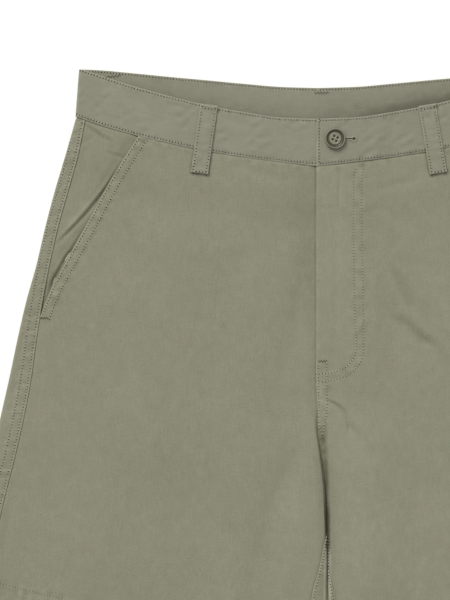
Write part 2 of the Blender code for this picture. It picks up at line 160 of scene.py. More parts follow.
# The fold along the inner leg, from its top down to the back: how wide and how deep its round
# top is, how far its foot comes in towards the other leg, and the foot's radius.
FOLD_WIDTH = 1.4
FOLD_DEPTH = 2.6
FOLD_PUSH = 3.0
FOLD_GAP = 0.25
FOLD_FOOT = 1.0
FOLD_FLAT = 12.0

# How far a piece runs on under the one that covers its edge, how far it dips there, and how far
# the side strip lifts over the front.
TUCK = 3.0
TUCK_DIP = 0.75
LAP = 0.1

# The pocket. Its two bottoms are shares of the leg's length.
POCKET_BOTTOM_Y = 48.0
FACING_BOTTOM = 0.44
FACING_UNDER_FRONT = 24.0
FACING_LEDGE = 6.0
BAG_BOTTOM = 0.50
BAG_IN_FROM_SEAM = 4.0

# The lot of each kind of piece moves the cloth's patterns, so that no two pieces look alike.
FRONT_LOT = 40
BACK_LOT = 90
FACING_LOT = 120
SHIELD_LOT = 160
ZIP_LOT = 170
BAND_LOT = 200
LOOP_LOT = 300

# The distances from an edge at which its rounding is drawn.
EDGE = (0.0, 0.1, 0.3, 0.6)

# The waist, from the centre out to the side.
WAIST = table("x front_top front_seam back_top", [
    (0, 206.4, 168.3, 231.6),
    (30, 207.5, 171.9, 232.5),
    (60, 211.9, 175.8, 235.0),
    (90, 217.4, 180.6, 237.8),
    (120, 224.5, 187.0, 240.5),
    (150, 232.7, 194.2, 243.4),
    (180, 242.4, 203.1, 246.0),
    (HALF_WAIST, SIDE_TOP_Y, SIDE_SEAM_TOP_Y, SIDE_TOP_Y),
])

# Down the side: the fold at the outline, and the side seam, which lies on the front.
SIDE = table("y fold_x seam_x", [
    (208, 193.4, 185.8),
    (180, 201.4, 191.3),
    (150, 210.5, 199.6),
    (120, 218.4, 208.0),
    (90, 225.4, 214.8),
    (60, 233.8, 220.6),
    (30, 240.7, 225.3),
    (0, 247.0, 229.3),
    (-30, 253.8, 234.9),
    (-60, 260.5, 241.5),
    (-100, 269.2, 251.7),
    (-150, 279.8, 261.9),
    (-200, 290.0, 271.5),
])

# Down the slanted pocket: its mouth, and the bag's inner edge.
POCKET = table("y mouth_x bag_x", [
    (193, 143.5, 98),
    (158, 165.6, 97),
    (123, 184.7, 98),
    (92, 201.8, 103),
    (66, 215.5, 113),
    (48, 222.0, 126),
    (20, 226.6, 156),
    (-10, 231.0, 205),
])

# Down the middle: half of the gap between the two sides, and how far the inseam has come over
# the inner fold onto the front. A negative run is still down in the fold.
MIDDLE = table("y half_gap right_run left_run", [
    (170, 0.0, -6.0, -6.0),
    (-14, 0.0, -6.0, -6.0),
    (-34, 3.9, -6.0, -6.0),
    (-50, 2.8, -6.0, -6.0),
    (-62, 2.1, -6.0, -6.0),
    (-75, 1.5, -6.0, -6.0),
    (-106, 0.7, -5.0, -5.0),
    (-130, 0.5, 0.4, -1.6),
    (-150, 0.8, 3.7, -1.4),
    (-178, 1.1, 10.0, 4.1),
    (-212, 3.8, 12.4, 8.4),
    (-247, 9.0, 13.8, 10.3),
])

# The two rows of stitches that shape the fly: down it, and then round in a J to its edge.
FLY = table("y inner_x outer_x", [
    (170, 31.2, 37.4),
    (160, 28.4, 34.8),
    (123, 28.4, 35.0),
    (62, 29.3, 36.2),
    (25, 30.7, 36.4),
])
J_TURNS = table(
    "column top_y drop squareness", [("inner_x", 27.2, 24.6, 2.5), ("outer_x", 22.4, 26.1, 2.2)]
)

# Belt loops, by the middles of their ends. Those on the back lie under the waistband.
LOOP_WIDTH = 14.0
LOOP_THICKNESS = 1.1
LOOP_ROW = 1.7
LOOP_TACK = 3.2
LOOPS = table("name top_x top_y bottom_x bottom_y on_front", [
    ("loop_front_right", -87.0, 217.6, -94.8, 162.8, True),
    ("loop_front_left", 87.0, 217.6, 96.2, 162.8, True),
    ("loop_back_right", -164.5, 243.6, -161.5, 190.0, False),
    ("loop_back_left", 164.5, 243.6, 161.5, 190.0, False),
    ("loop_back_centre", 2.0, 230.6, 2.0, 177.0, False),
])

# Soft creases of the cloth, each between two points of the whole garment: how far its middle
# bends to its left, its half width, the lift along its line, and the tilt across it, which lifts
# its left side and lowers its right one. CREASE_TILT makes that 0.7 mm for a tilt of 1. On the
# front and the waistband all of it counts CREASE_LIFT times.
CREASE_LIFT = 2.2
CREASE_TILT = 1.65
CREASE = "x0 y0 x1 y1 bend width lift tilt"
CREASES = table(CREASE, [
    # Round the crotch, on the left front.
    (7, -18, 26, -43, 5.6, 1.7, -0.30, 0.62),
    (24, -36, 50, -64, 1.0, 5.0, -0.20, 0.45),
    (45, -50, 106, -116, 6.0, 12.0, -0.30, 0.42),
    (40, -44, 44, -185, 3.0, 20.0, 0.75),
    (61, 89, 79, 52, 1.0, 2.7, -0.55, 1.25),
    (66, 50, 92, 26, -1.0, 4.2, -0.60, 1.15),
    (86, 33, 122, -6, -1.0, 6.0, -0.30, 0.50),
    (55, 66, 57, -6, 2.0, 10.0, -0.45, -0.15),
    (47, 100, 46, 30, 0.0, 3.5, 0.28),
    (17, 166, 16, 135, 0.0, 1.5, -0.24, -0.16),
    (-1, 136, 18, 136, 0.0, 1.7, -0.16, 0.14),
    (16, 112, 16, 18, 0.5, 4.0, -0.16, 0.10),
    (39, 134, 56, 132, 1.0, 2.4, -0.22),
    (47, 150, 78, 157, 1.5, 3.0, -0.20, 0.08),
    # Left of the fly and of the crotch, on the right front.
    (-15.5, 72, -15, 34, 0.0, 4.0, -0.34, 0.10),
    (-8, 160, -8, 20, 0.0, 9.0, -0.40),
    (-15, 90, -17, 10, 0.0, 8.0, -0.26, 0.08),
    (-28, 14, -29, -22, 0.0, 6.0, -0.35, 0.05),
    (-18, -60, -44, -150, -3.0, 11.0, -0.80),
    (-40, -135, -50, -200, 0.0, 13.0, -0.70),
    (-66, 100, -60, 78, 0.0, 9.0, -0.30),
    (-70, 172, -14, 158, -2.0, 4.0, -0.18, 0.08),
    (-214, 42, -205, -10, 2.0, 3.0, -0.30, 0.10),
    (-213, -66, -212, -92, 0.0, 5.0, -0.25),
    (-245, -98, -251, -140, 0.0, 4.0, -0.35, 0.05),
    (-120, 30, -150, -70, -8.0, 26.0, 0.35),
    (-100, -80, -90, -190, 6.0, 30.0, -0.30),
    (-175, -110, -190, -190, 4.0, 16.0, 0.28),
    (-60, 60, -70, -40, 6.0, 22.0, 0.25),
    # Under the waistband and beside the pockets.
    (-142, 182, -150, 168, 0.0, 3.0, -0.20, 0.10),
    (-150, 150, -120, 120, 2.0, 10.0, -0.18),
    (118, 150, 150, 118, -2.0, 9.0, -0.22),
    # The outer part of the left leg.
    (120, 40, 146, -60, 7.0, 24.0, 0.34),
    (108, -70, 96, -180, -5.0, 28.0, -0.28),
    (210, 36, 204, -16, -2.0, 4.0, -0.28, -0.08),
    (178, -90, 196, -180, 3.0, 18.0, 0.26),
    (236, -90, 246, -150, 0.0, 5.0, -0.30),
])

# Patches of painted light (above 0) and painted shade on the front, with the patch's reach.
LIGHT_AND_SHADE_PATCHES = table("x y reach_x reach_y amount", [
    (50, -115, 60, 80, 0.26),
    (16, 90, 20, 90, 0.20),
    (16, 158, 18, 14, 0.14),
    (-12, 125, 10, 60, -0.14),
    (-8, 92, 9, 36, -0.20),
    (36, 110, 12, 45, -0.12),
    (34, 45, 8, 14, -0.20),
    (-22, -110, 22, 50, 0.06),
    (110, 100, 60, 80, 0.06),
])

# Creases of the waistband.
BAND_CREASES = table(CREASE, [
    (-174, 238, -140, 220, 2.0, 6.0, -0.22, 0.10),
    (-150, 226, -118, 206, -2.0, 7.0, -0.20),
    (-82, 214, -56, 200, 0.0, 5.0, -0.22, 0.08),
    (-40, 204, -52, 178, 0.0, 6.0, 0.16),
    (42, 209, 66, 202, 1.0, 4.5, -0.25, 0.10),
    (52, 200, 46, 180, 0.0, 6.0, 0.18),
    (120, 212, 140, 200, 0.0, 7.0, -0.20),
    (150, 232, 172, 218, 0.0, 7.0, 0.18),
])

# Waves of the soft cloth: how high and how long they are, and the seed that places them.
FRONT_WAVES = table("height size seed", [(0.16, 95.0, 3), (0.05, 26.0, 4)])
BAND_WAVES = table("height size seed", [(0.09, 60.0, 51), (0.05, 17.0, 52)])

# Creases of the pocket's facing, on the wearer's right. The left one has their mirror image.
FACING_CREASES = table(CREASE, [
    (-160, 167, -208, 109, 2.2, 1.9, -0.65, -1.25),
    (-183, 138, -200, 120, 1.0, 5.0, 0.45),
    (-183, 124, -203, 94, 0.5, 2.4, -1.1, -0.75),
    (-200, 100, -214, 74, -0.6, 2.0, -0.60, -0.95),
    (-211, 84, -218, 54, 0.0, 2.2, -1.0, -0.40),
    (-150, 181, -168, 156, 0.0, 2.8, -0.35, -0.35),
    (-186, 203, -164, 189, -0.8, 1.8, -0.55, 0.60),
    (-170, 181, -152, 175, 0.0, 1.6, -0.50, 0.40),
    (-178, 192, -190, 186, 0.0, 2.2, -0.25, 0.20),
    (-180, 186, -186, 150, 0.0, 4.0, 0.35),
])

# Creases of the back, where it lies clear of the surface that it rests on.
BACK_CREASES = table(CREASE, [
    (-150, 120, -96, 20, 10.0, 14.0, 0.8),
    (-60, 150, -40, 90, 2.0, 10.0, 0.5),
    (-210, 40, -150, -90, -8.0, 16.0, 0.9),
    (-90, -60, -120, -190, 6.0, 15.0, 0.8),
    (-16, -60, -48, -120, 3.0, 7.0, 0.9),
    (18, -50, 52, -118, -3.0, 8.0, 1.0),
    (70, 140, 100, 40, -6.0, 13.0, 0.7),
    (150, 110, 190, -20, 9.0, 15.0, 0.8),
    (110, -40, 140, -180, -6.0, 17.0, 0.9),
    (0, 120, 6, 40, 2.0, 9.0, 0.5),
])


# Small tools for numbers. They take single values and arrays.


def mix(a, b, share):
    return a + (b - a) * share


def ease(start, end, value):
    """0 at start, 1 at end, and level at both."""
    share = np.clip((np.asarray(value, float) - start) / (end - start), 0.0, 1.0)
    return share * share * (3 - 2 * share)


def dip(distance, width):
    """1 on a line, falling to 0 on both sides of it."""
    return np.exp(-((distance / width) ** 2))


def stacked(*values):
    """Points from arrays of their coordinates."""
    return np.stack(np.broadcast_arrays(*values), axis=-1)


def axes(start, end):
    """A line's start and length, and the directions along it and to its left."""
    start, end = np.array(start), np.array(end)
    length = float(np.linalg.norm(end - start))
    along = (end - start) / length
    return start, length, along, np.array((-along[1], along[0]))


def spaced(start, end, step):
    """Even values from start up to, and without, end."""
    return list(np.linspace(start, end, max(1, round(abs(end - start) / step)), endpoint=False))


def graded(length, start, coarse, end):
    """Values from 0 to a length. start and end are how far each end's finer steps go, and those."""
    first = spaced(EDGE[-1], *start) + spaced(start[0], length - end[0], coarse)
    last = spaced(length - end[0], length - EDGE[-1], end[1]) + [length - e for e in EDGE[::-1]]
    return list(EDGE[:-1]) + first + last


def curve(rows, column, at):
    """A smooth curve through one column of a table, read at a value of its first column."""
    keys = np.array([row[0] for row in rows], float)
    values = np.array([getattr(row, column) for row in rows], float)
    if keys[0] > keys[-1]:
        keys, values = keys[::-1], values[::-1]
    chords = np.diff(values) / np.diff(keys)
    before = np.concatenate((chords[:1], chords))
    after = np.concatenate((chords, chords[-1:]))
    turns_back = before * after <= 0
    total = np.where(turns_back, 1.0, before + after)
    slopes = np.where(turns_back, 0.0, 2 * before * after / total)
    at = np.clip(at, keys[0], keys[-1])
    i = np.clip(np.searchsorted(keys, at) - 1, 0, len(keys) - 2)
    step = keys[i + 1] - keys[i]
    s = (at - keys[i]) / step
    bend = (1 - s) * slopes[i] - s * slopes[i + 1]
    rise = values[i + 1] - values[i]
    return values[i] + s * s * (3 - 2 * s) * rise + s * (1 - s) * bend * step


WAVES = 14


def unevenness(x, y, size, seed):
    """A smooth random surface with waves of about that size. Its usual height is 1."""
    rng = np.random.default_rng(seed)
    total = 0.0
    for _ in range(WAVES):
        angle, phase = rng.uniform(0, 2 * math.pi, 2)
        turn = 2 * math.pi / (size * rng.uniform(0.7, 1.5))
        total = total + np.sin(turn * (x * math.cos(angle) + y * math.sin(angle)) + phase)
    return total * math.sqrt(2 / WAVES)


def creased(rows, x, y):
    """How far the creases of a table lift the cloth at a point of the whole garment."""
    total = 0.0
    for crease in rows:
        run, rise = crease.x1 - crease.x0, crease.y1 - crease.y0
        length = math.hypot(run, rise)
        along = ((x - crease.x0) * run + (y - crease.y0) * rise) / length**2
        off = ((y - crease.y0) * run - (x - crease.x0) * rise) / length
        off = (off - 4 * crease.bend * along * (1 - along)) / crease.width
        ends = ease(-0.15, 0.25, along) * ease(1.15, 0.75, along)
        height = crease.lift + CREASE_TILT * crease.tilt * off
        total = total + height * np.exp(-off * off) * ends
    return total


# The half garment's outline. Its rows go down from the waist seam (t = 0) to the hem (t = 1),
# and each runs from the inner edge (q = 0) out to the side fold (q = 1).


def fold_y(t):
    return mix(SIDE_SEAM_TOP_Y, HEM_INNER_Y + HEM_RISE, t)


def fold_x(t):
    return curve(SIDE, "fold_x", fold_y(t))


def hem_y(q):
    return HEM_INNER_Y + HEM_RISE * mix(q * q, q, HEM_STRAIGHTNESS)


def back_seam_y(q):
    """The back's waist seam, which comes down to the front's at the side."""
    high = curve(WAIST, "back_top", q * HALF_WAIST) - BAND_WIDTH
    return mix(high, SIDE_SEAM_TOP_Y, ease(CORNER_START, 1.0, q))


def row_y(q, t, on_back=0.0):
    seam = mix(curve(WAIST, "front_seam", q * HALF_WAIST), back_seam_y(q), on_back)
    return mix(seam, hem_y(q), t)


def half_gap(t):
    return curve(MIDDLE, "half_gap", row_y(0.0, t))


def row_x(q, t):
    return mix(half_gap(t), fold_x(t), q)


def row_q(x, t):
    return (x - half_gap(t)) / (fold_x(t) - half_gap(t))


def q_at(edge_x, t):
    """Where the rows t meet an edge whose x is a function of y."""
    low, high = np.zeros_like(t), np.ones_like(t) * 1.05
    for _ in range(30):
        q = (low + high) / 2
        inside = row_x(q, t) < edge_x(row_y(q, t))
        low, high = np.where(inside, q, low), np.where(inside, high, q)
    return low


def side_seam_x(y):
    return curve(SIDE, "seam_x", y)


def mouth_x(y):
    return curve(POCKET, "mouth_x", y)


def front_edge_x(y):
    """The front's outer edge: the pocket's mouth, and below it, a tuck under the side strip."""
    edge = np.minimum(side_seam_x(y), mouth_x(y))
    return mix(edge, side_seam_x(y) + TUCK, ease(POCKET_BOTTOM_Y + 3, POCKET_BOTTOM_Y - 5, y))


def slope_of(edge, y):
    """How fast the x of an edge changes with y, and how much that lengthens the edge."""
    slope = (edge(y + 1.0) - edge(y - 1.0)) / 2
    return slope, np.sqrt(1 + slope * slope)


def off_edge(edge, x, y):
    """The distance in from an edge whose x is a function of y."""
    return (edge(y) - x) / slope_of(edge, y)[1]


def below_waist(x, y):
    """How far a point of the front lies below the waist seam."""
    return curve(WAIST, "front_seam", x) - y


def inseam_run(t, side):
    return curve(MIDDLE, "right_run" if side < 0 else "left_run", row_y(0.0, t))


def lean(x, y):
    return LEAN * ease(LEAN_TOP_Y, LEAN_FULL_Y, y) * np.exp(-((x / LEAN_REACH) ** 2))


def place(x, y, z, side):
    """Points of the half garment in the whole one, where the crotch leans to the left."""
    return stacked(side * x + lean(x, y), y, z)


# Heights of the cloth.


def waist_rise(below):
    """The layers climb below the waist, where the seams' allowances lie between them."""
    return WAIST_RISE * ease(WAIST_RISE_START, WAIST_RISE_END, below)


def overlap_share(x):
    """1 where the left half lies over the right one's underlap, falling to 0 beside it."""
    return ease(OVERLAP_END_X, OVERLAP_LEVEL_X, x)


def uneven(waves, x, y):
    """A surface of several kinds of waves."""
    return sum(wave.height * unevenness(x, y, wave.size, wave.seed) for wave in waves)


def relief(x, y, side):
    """What the creases and the softness of the cloth add to the front's height."""
    whole_x = side * x + lean(x, y)
    return CREASE_LIFT * creased(CREASES, whole_x, y) + uneven(FRONT_WAVES, whole_x, y)


def front_z(x, y, side):
    """The front, with a soft bulge along both sides of the crotch, and the rise by the fly."""
    below = below_waist(x, y)
    bulge = BULGES[side]
    high = bulge.height * ease(BULGE_TOP_Y, BULGE_FULL_Y, y)
    high = high * ease(BULGE_END_Y, BULGE_FADE_Y, y)
    z = FRONT_Z + waist_rise(below) + high * dip(x - bulge.x, bulge.reach)
    if side > 0:
        z = z + FLY_RISE * overlap_share(x) * ease(FLY_RISE_DEPTH, 0.0, below)
    return z + relief(x, y, side)


def back_z(x, y, side):
    below = back_seam_y(x / HALF_WAIST) - y
    lifted = np.clip(creased(BACK_CREASES, side * x + lean(x, y), y), 0.0, 1.2)
    return BACK_Z + waist_rise(below) + lifted * ease(0.0, 40.0, below)


def fold_profile(run, gap, top, low, foot_x=None, closed_by=0.55):
    """The inner fold's section: x and z at a run onto the front, or down round the fold."""
    depth = np.minimum(FOLD_DEPTH, 0.5 * (top - low))
    foot_x = np.maximum(FOLD_GAP, gap - FOLD_PUSH) if foot_x is None else foot_x
    drop = top - depth - (low + FOLD_FOOT)
    quarter = math.pi / 2
    round_top = quarter * np.sqrt((FOLD_WIDTH**2 + depth**2) / 2)
    wall = np.hypot(gap - foot_x, drop)
    round_foot = quarter * FOLD_FOOT
    angle = np.clip(-run / round_top, 0.0, 1.0) * quarter
    down = np.clip((-run - round_top) / wall, 0.0, 1.0)
    turn = np.clip((-run - round_top - wall) / round_foot, 0.0, 1.0) * quarter
    beyond = np.maximum(0.0, -run - round_top - wall - round_foot)
    x = gap + FOLD_WIDTH * (1 - np.sin(angle)) + np.maximum(run, 0.0)
    x = x - (gap - foot_x) * ease(0.0, closed_by, down)
    x = x + FOLD_FOOT * (1 - np.cos(turn)) + beyond
    z = top - depth * (1 - np.cos(angle)) - drop * down - FOLD_FOOT * np.sin(turn)
    return x, z, round_top + wall, round_foot


# Painted shade down in the fold between the legs, by the stretch of the fold in which each shade
# comes in. A negative amount paints light back in.
PAINTED_FOLD_SHADES = table("amount top_y full_y", [
    (0.45, -28.0, -50.0),
    (0.95, -92.0, -112.0),
    (-3.2, -134.0, -146.0),
    (1.8, -194.0, -212.0),
])


def painted_fold_shade(run, y0):
    """How much painted shade darkens the cloth down in the fold between the legs, and along its
    edges.
    """
    deep = sum(s.amount * ease(s.top_y, s.full_y, y0) for s in PAINTED_FOLD_SHADES)
    shade_beside_fold = 0.45 * ease(-40.0, -90.0, y0) * ease(8.0, 0.0, run)
    return deep * ease(1.4, -0.8, run) + shade_beside_fold


# Seams: how far each lifts the cloth, how far in from its edge it goes, its rows of stitches,
# the height of its puckers, and the seed that places them.

Seam = namedtuple("Seam", "rise width rows pucker seed")
MOUTH_SEAM = Seam(0.35, 8.6, (1.5, 7.4), 0.13, 11)
SIDE_SEAM = Seam(0.30, 9.6, (2.1, 8.2), 0.13, 21)
INSEAM = Seam(0.25, 3.0, (1.5,), 0.10, 25)
CROTCH_SEAM = Seam(0.25, 9.4, CROTCH_ROWS, 0.10, 16)
HEM_SEAM = Seam(0.18, HEM_DEPTH + 1, (HEM_DEPTH,), 0.06, 15)
BACK_HEM_SEAM = HEM_SEAM._replace(seed=27)
BACK_SEAM = Seam(0.0, 9.4, (1.5, 8.3), 0.08, 28)

FAR_OFF = 99.0
GROOVE_DEPTH = 0.16
GROOVE_WIDTH = 0.75
PUCKER_SIZE = 7.0
ROPING_SIZE = 4.2


def seam_lift(seam, distance, along, side):
    """How far a seam lifts the cloth at a distance from its edge, and how worn the cloth is
    there: above 0 it is rubbed lighter, below 0 it is dark in a groove."""
    inside = ease(seam.width + 0.8, seam.width - 0.8, distance)
    near = ease(-0.5, 1.5, distance) * ease(seam.width + 6, seam.width - 1, distance)
    grooves = sum(dip(distance - row, GROOVE_WIDTH) for row in seam.rows)
    seed = seam.seed + side
    puckers = 0.7 * unevenness(distance * 0.35, along, PUCKER_SIZE, seed)
    puckers = puckers + 0.5 * unevenness(distance * 0.8, along, ROPING_SIZE, seed + 100)
    lift = seam.rise * inside - GROOVE_DEPTH * grooves + seam.pucker * puckers * near
    wear = 0.9 * dip(distance, 0.8) - 0.22 * grooves * (1 + 0.5 * puckers) + 0.25 * puckers * near
    return lift, wear


def fly_distance(x, y, turn):
    """How far outside one of the fly's rows a point lies."""
    across = curve(FLY, turn.column, y)
    widest = curve(FLY, turn.column, turn.top_y)
    fall = np.maximum(turn.top_y - y, 0.0) / turn.drop
    reach = (np.abs(x / widest) ** turn.squareness + fall**turn.squareness) ** (1 / turn.squareness)
    return np.where(y >= turn.top_y, x - across, (reach - 1) * (widest + turn.drop) / 2)


# From grids of points to closed cloth.


def grid_normals(points):
    """The direction from which the columns, then the rows, turn anticlockwise."""
    normal = np.cross(np.gradient(points, axis=1), np.gradient(points, axis=0))
    return normal / np.maximum(np.linalg.norm(normal, axis=2, keepdims=True), 1e-9)


def area_of(points):
    """The area of a grid in square millimetres."""
    across, down = np.diff(points, axis=1), np.diff(points, axis=0)
    cells = np.cross(across[:-1], down[:, :-1])
    return float(np.linalg.norm(cells, axis=2).sum())


def unrolled(points, anchor):
    """For each point its way along its row, where column anchor keeps its x."""
    steps = np.linalg.norm(np.diff(points, axis=1), axis=2)
    way = np.concatenate((np.zeros((len(points), 1)), np.cumsum(steps, axis=1)), axis=1)
    return way - way[:, anchor : anchor + 1] + np.abs(points[:, anchor : anchor + 1, 0])


def edge_distance(values):
    """How far each of some increasing values lies from the nearer end."""
    values = np.abs(np.asarray(values, float) - values[0])
    return np.minimum(values, values[-1] - values)


def wall_half(thickness, rows_off, columns_off):
    """Half of the wall, which closes in a round edge on all sides of the grid."""
    off = np.minimum(rows_off[:, None], columns_off[None, :])
    off = np.clip(off / EDGE[-1], 0.0, 1.0)
    return thickness / 2 * np.sqrt(1 - (1 - off) ** 2)


def linked(name, data, finish=None):
    """Puts new data into the scene as an object."""
    if finish:
        data.materials.append(finish)
    obj = bpy.data.objects.new(name, data)
    bpy.context.scene.collection.objects.link(obj)
    return obj


def quads(index):
    """The faces of a grid, by the numbers of its points."""
    return stacked(index[:-1, :-1], index[:-1, 1:], index[1:, 1:], index[1:, :-1]).reshape(-1, 4)


def shell(name, points, half, finish, cut, wear, lot):
    """A closed sheet of cloth round a grid of points. cut is each point's place on the cloth."""
    rows, columns = points.shape[:2]
    thick = grid_normals(points) * half[..., None]
    top = np.where(half[..., None] == 0, points, points + thick)
    bottom = (points - thick)[1:-1, 1:-1]
    verts = np.concatenate((top.reshape(-1, 3), bottom.reshape(-1, 3))) * MM
    upper = np.arange(rows * columns).reshape(rows, columns)
    lower = upper.copy()
    lower[1:-1, 1:-1] = np.arange(rows * columns, len(verts)).reshape(rows - 2, columns - 2)
    faces = np.concatenate((quads(upper), quads(lower)[:, ::-1]))
    mesh = bpy.data.meshes.new(name)
    mesh.vertices.add(len(verts))
    mesh.vertices.foreach_set("co", verts.astype(np.float32).ravel())
    mesh.loops.add(faces.size)
    mesh.loops.foreach_set("vertex_index", faces.astype(np.int32).ravel())
    mesh.polygons.add(len(faces))
    mesh.polygons.foreach_set("loop_start", np.arange(0, faces.size, 4, dtype=np.int32))
    mesh.update(calc_edges=True)
    mesh.validate()
    mesh.shade_smooth()
    cut = np.concatenate((cut, np.full((rows, columns, 1), float(lot))), axis=2)
    # Besides how worn the cloth is, this attribute carries painted light and painted shade into the
    # twill's colour.
    for label, kind, key, values in (
        ("cut_mm", "FLOAT_VECTOR", "vector", cut), ("wear", "FLOAT", "value", wear),
    ):
        values = np.concatenate((values.ravel(), values[1:-1, 1:-1].ravel())).astype(np.float32)
        mesh.attributes.new(label, kind, "POINT").data.foreach_set(key, values)
    return linked(name, mesh, finish)


def cloth_names(stem, *sides):
    """The names of a kind of piece on some sides, or on both."""
    return [f"{stem}_{SIDES[side]}_cloth" for side in sides or SIDES]


def enrol(obj, slot, *nodes):
    """Every piece moves with the one body, and the solids of its nodes are hidden."""
    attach(obj, ROOT)
    if nodes:
        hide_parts(*nodes)
    return obj


def declare(obj, points, slot):
    """Enrols a sheet cut from a grid, and hides the solid of its node. Its name is its node's, and
    a word.
    """
    width, length = (
        np.linalg.norm(np.diff(points, axis=axis), axis=2).sum(axis=axis).max() for axis in (1, 0)
    )
    area = min(area_of(points), float(width * length))
    enrol(obj, slot, obj.name.rsplit("_", 1)[0])
    return obj


def turned_hem(points, section, outward):
    """Adds the rows of a hem that turns in and runs back up inside the leg."""
    rows = [points]
    last, last_normal = points[-1], grid_normals(points)[-1] * outward
    for angle in np.linspace(0.0, math.pi, HEM_TURN_ROWS + 1)[1:]:
        inwards = HEM_TURN * (1 - math.cos(angle))
        down = np.array((0.0, -HEM_TURN * math.sin(angle), 0.0))
        rows.append((last - last_normal * inwards + down)[None])
    inner = section(1.0 - np.array(HEM_BACK)[:, None] / LEG)
    rows.append(inner + grid_normals(inner) * outward * 2 * HEM_TURN)
    return np.concatenate(rows)


# How far in from its edges a front's finer columns go.
INNER_REACH = 40.0
OUTER_REACH = 14.0

# The rows of a leg by their distances down from the waist seam, to the hem and up inside it.
LEG = 405.0
HEM_LINE = LEG - HEM_DEPTH
ROWS = [edge - TUCK for edge in EDGE[:-1]] + spaced(EDGE[-1] - TUCK, 9.0, 0.75)
ROWS += spaced(9.0, 160.0, 2.0) + spaced(160.0, 225.0, 1.1) + spaced(225.0, HEM_LINE - 6, 2.0)
ROWS += spaced(HEM_LINE - 6, HEM_LINE + 6, 0.8) + spaced(HEM_LINE + 6, LEG - 2, 2.0)
ROWS += [LEG - 2, LEG - 0.9, LEG]
ROW_SHARES = np.array(ROWS)[:, None] / LEG
HEM_BACK = [1.2] + spaced(3.0, HEM_DEPTH, 3.0) + [HEM_DEPTH - e for e in EDGE[:0:-1]] + [HEM_DEPTH]
ROWS_OFF = [row + TUCK for row in ROWS] + [HEM_DEPTH] * HEM_TURN_ROWS
ROWS_OFF = np.array(ROWS_OFF + [HEM_DEPTH - row for row in HEM_BACK])


def front_columns(side):
    """Distances in from the inner edge, shares of the middle, and distances off the outer edge."""
    fine = 0.9 if side > 0 else 2.2
    inner = list(EDGE[:-1]) + spaced(0.6, 12.0, 0.85) + spaced(12.0, 26.0, 1.3 * fine)
    inner += spaced(26.0, INNER_REACH, fine)
    middle = spaced(0.0, 1.0, 1 / 54)
    outer = spaced(OUTER_REACH, 0.6, 0.8) + list(EDGE[::-1])
    return np.array(inner), np.array(middle), np.array(outer)


def first_columns(values, shape, beyond):
    """Values for the first columns of a grid, and one value for the others."""
    whole = np.full(shape, beyond)
    whole[:, : values.shape[1]] = values
    return whole


def front_section(t, side):
    """The front's points on rows t, how worn they are with painted light and shade added, and their
    x before the crotch leans.
    """
    inner, middle, outer = (part[None, :] for part in front_columns(side))
    y0, gap = row_y(0.0, t), half_gap(t)
    slit = ease(SLIT_TOP_Y, SLIT_FULL_Y, y0)
    tucked = ease(FORK_TOP_Y - FORK_LAG, FORK_FULL_Y - 2 * FORK_LAG, y0)
    top = front_z(gap + FOLD_WIDTH, y0, side)
    low = back_z(gap, y0, side) + 1.0
    foot_x = np.maximum(FOLD_GAP, gap - FOLD_PUSH)
    closed_by = 0.55
    if side > 0:
        closed_by = mix(1.0, closed_by, ease(-60.0, -100.0, y0))
        # Its seam strip sinks into the groove, across to the right leg, before it goes down.
        low = mix(top - 1.6, low, ease(-22.0, -76.0, y0))
        foot_x = mix(0.6 - gap, foot_x, ease(-60.0, -105.0, y0))
    fold = (gap, top, low, foot_x, closed_by)
    _, _, to_foot, round_foot = fold_profile(np.zeros_like(t), *fold)
    deep = to_foot + (round_foot + 4.0 * ease(-20.0, -55.0, y0) if side > 0 else 0.0)
    run = mix(-deep, inseam_run(t, side) - TUCK, tucked) + inner
    x_fold, z_fold, _, _ = fold_profile(run, *fold)
    x_in = mix((FLY_EDGE_X if side > 0 else -2.0) + inner, x_fold, slit)
    q_end = q_at(front_edge_x, t)
    x_out = row_x(q_end, t) - outer * slope_of(front_edge_x, row_y(q_end, t))[1]
    x_mid = mix(x_in[:, -1:] + 0.5, x_out[:, :1] - 0.5, middle)
    x = np.concatenate((x_in, x_mid, x_out), axis=1)
    y = row_y(row_q(x, t), t)
    z = front_z(x, y, side)
    y_in, z_in = (values[:, : inner.size] for values in (y, z))
    above = z_fold - top + front_z(np.maximum(x_in, gap + FOLD_WIDTH), y_in, side)
    z[:, : inner.size] = mix(z_in, np.where(run < 0, above, z_in), slit)
    points = place(x, y, z, side)
    lift, wear = front_lift(x, y, t, run, inner, side)
    # Painted shade down in the fold.
    wear[:, : inner.size] -= painted_fold_shade(run, y0)
    if side > 0:
        # Painted shade on the seam strip, where it lies in the groove.
        groove_shade = ease(-34.0, -46.0, y0) * ease(-104.0, -84.0, y0)
        wear[:, : inner.size] -= 0.55 * groove_shade * ease(1.2, -0.3, run)
    return points - grid_normals(points) * side * lift[..., None], wear, x


def loop_contact_shade(x, y):
    """1 beside the lower part of each belt loop, where painted shade darkens the front."""
    total = 0.0
    for loop in LOOPS:
        if loop.on_front:
            top, length, along, _ = axes(loop[1:3], loop[3:5])
            down = (x - top[0]) * along[0] + (y - top[1]) * along[1]
            off = (y - top[1]) * along[0] - (x - top[0]) * along[1]
            near = ease(LOOP_WIDTH / 2 + 1.6, LOOP_WIDTH / 2 + 0.2, np.abs(off))
            near = near * np.where(off > 0, 0.2, 1.0)
            total = total + near * ease(length + 2.0, length + 0.6, down)
    return total


def painted_light_and_shade(x, y, side):
    """The painted light and painted shade at each point of the front."""
    whole_x = side * x + lean(x, y)
    total = 0.0
    for patch in LIGHT_AND_SHADE_PATCHES:
        off_x, off_y = (whole_x - patch.x) / patch.reach_x, (y - patch.y) / patch.reach_y
        # A patch near the middle stops at the fly's edge.
        on_its_side = ease(-0.5, 0.5, side * np.sign(patch.x)) if abs(patch.x) < 20 else 1.0
        total = total + patch.amount * np.exp(-(off_x**2) - off_y**2) * on_its_side
    return total - 0.9 * loop_contact_shade(whole_x, y)


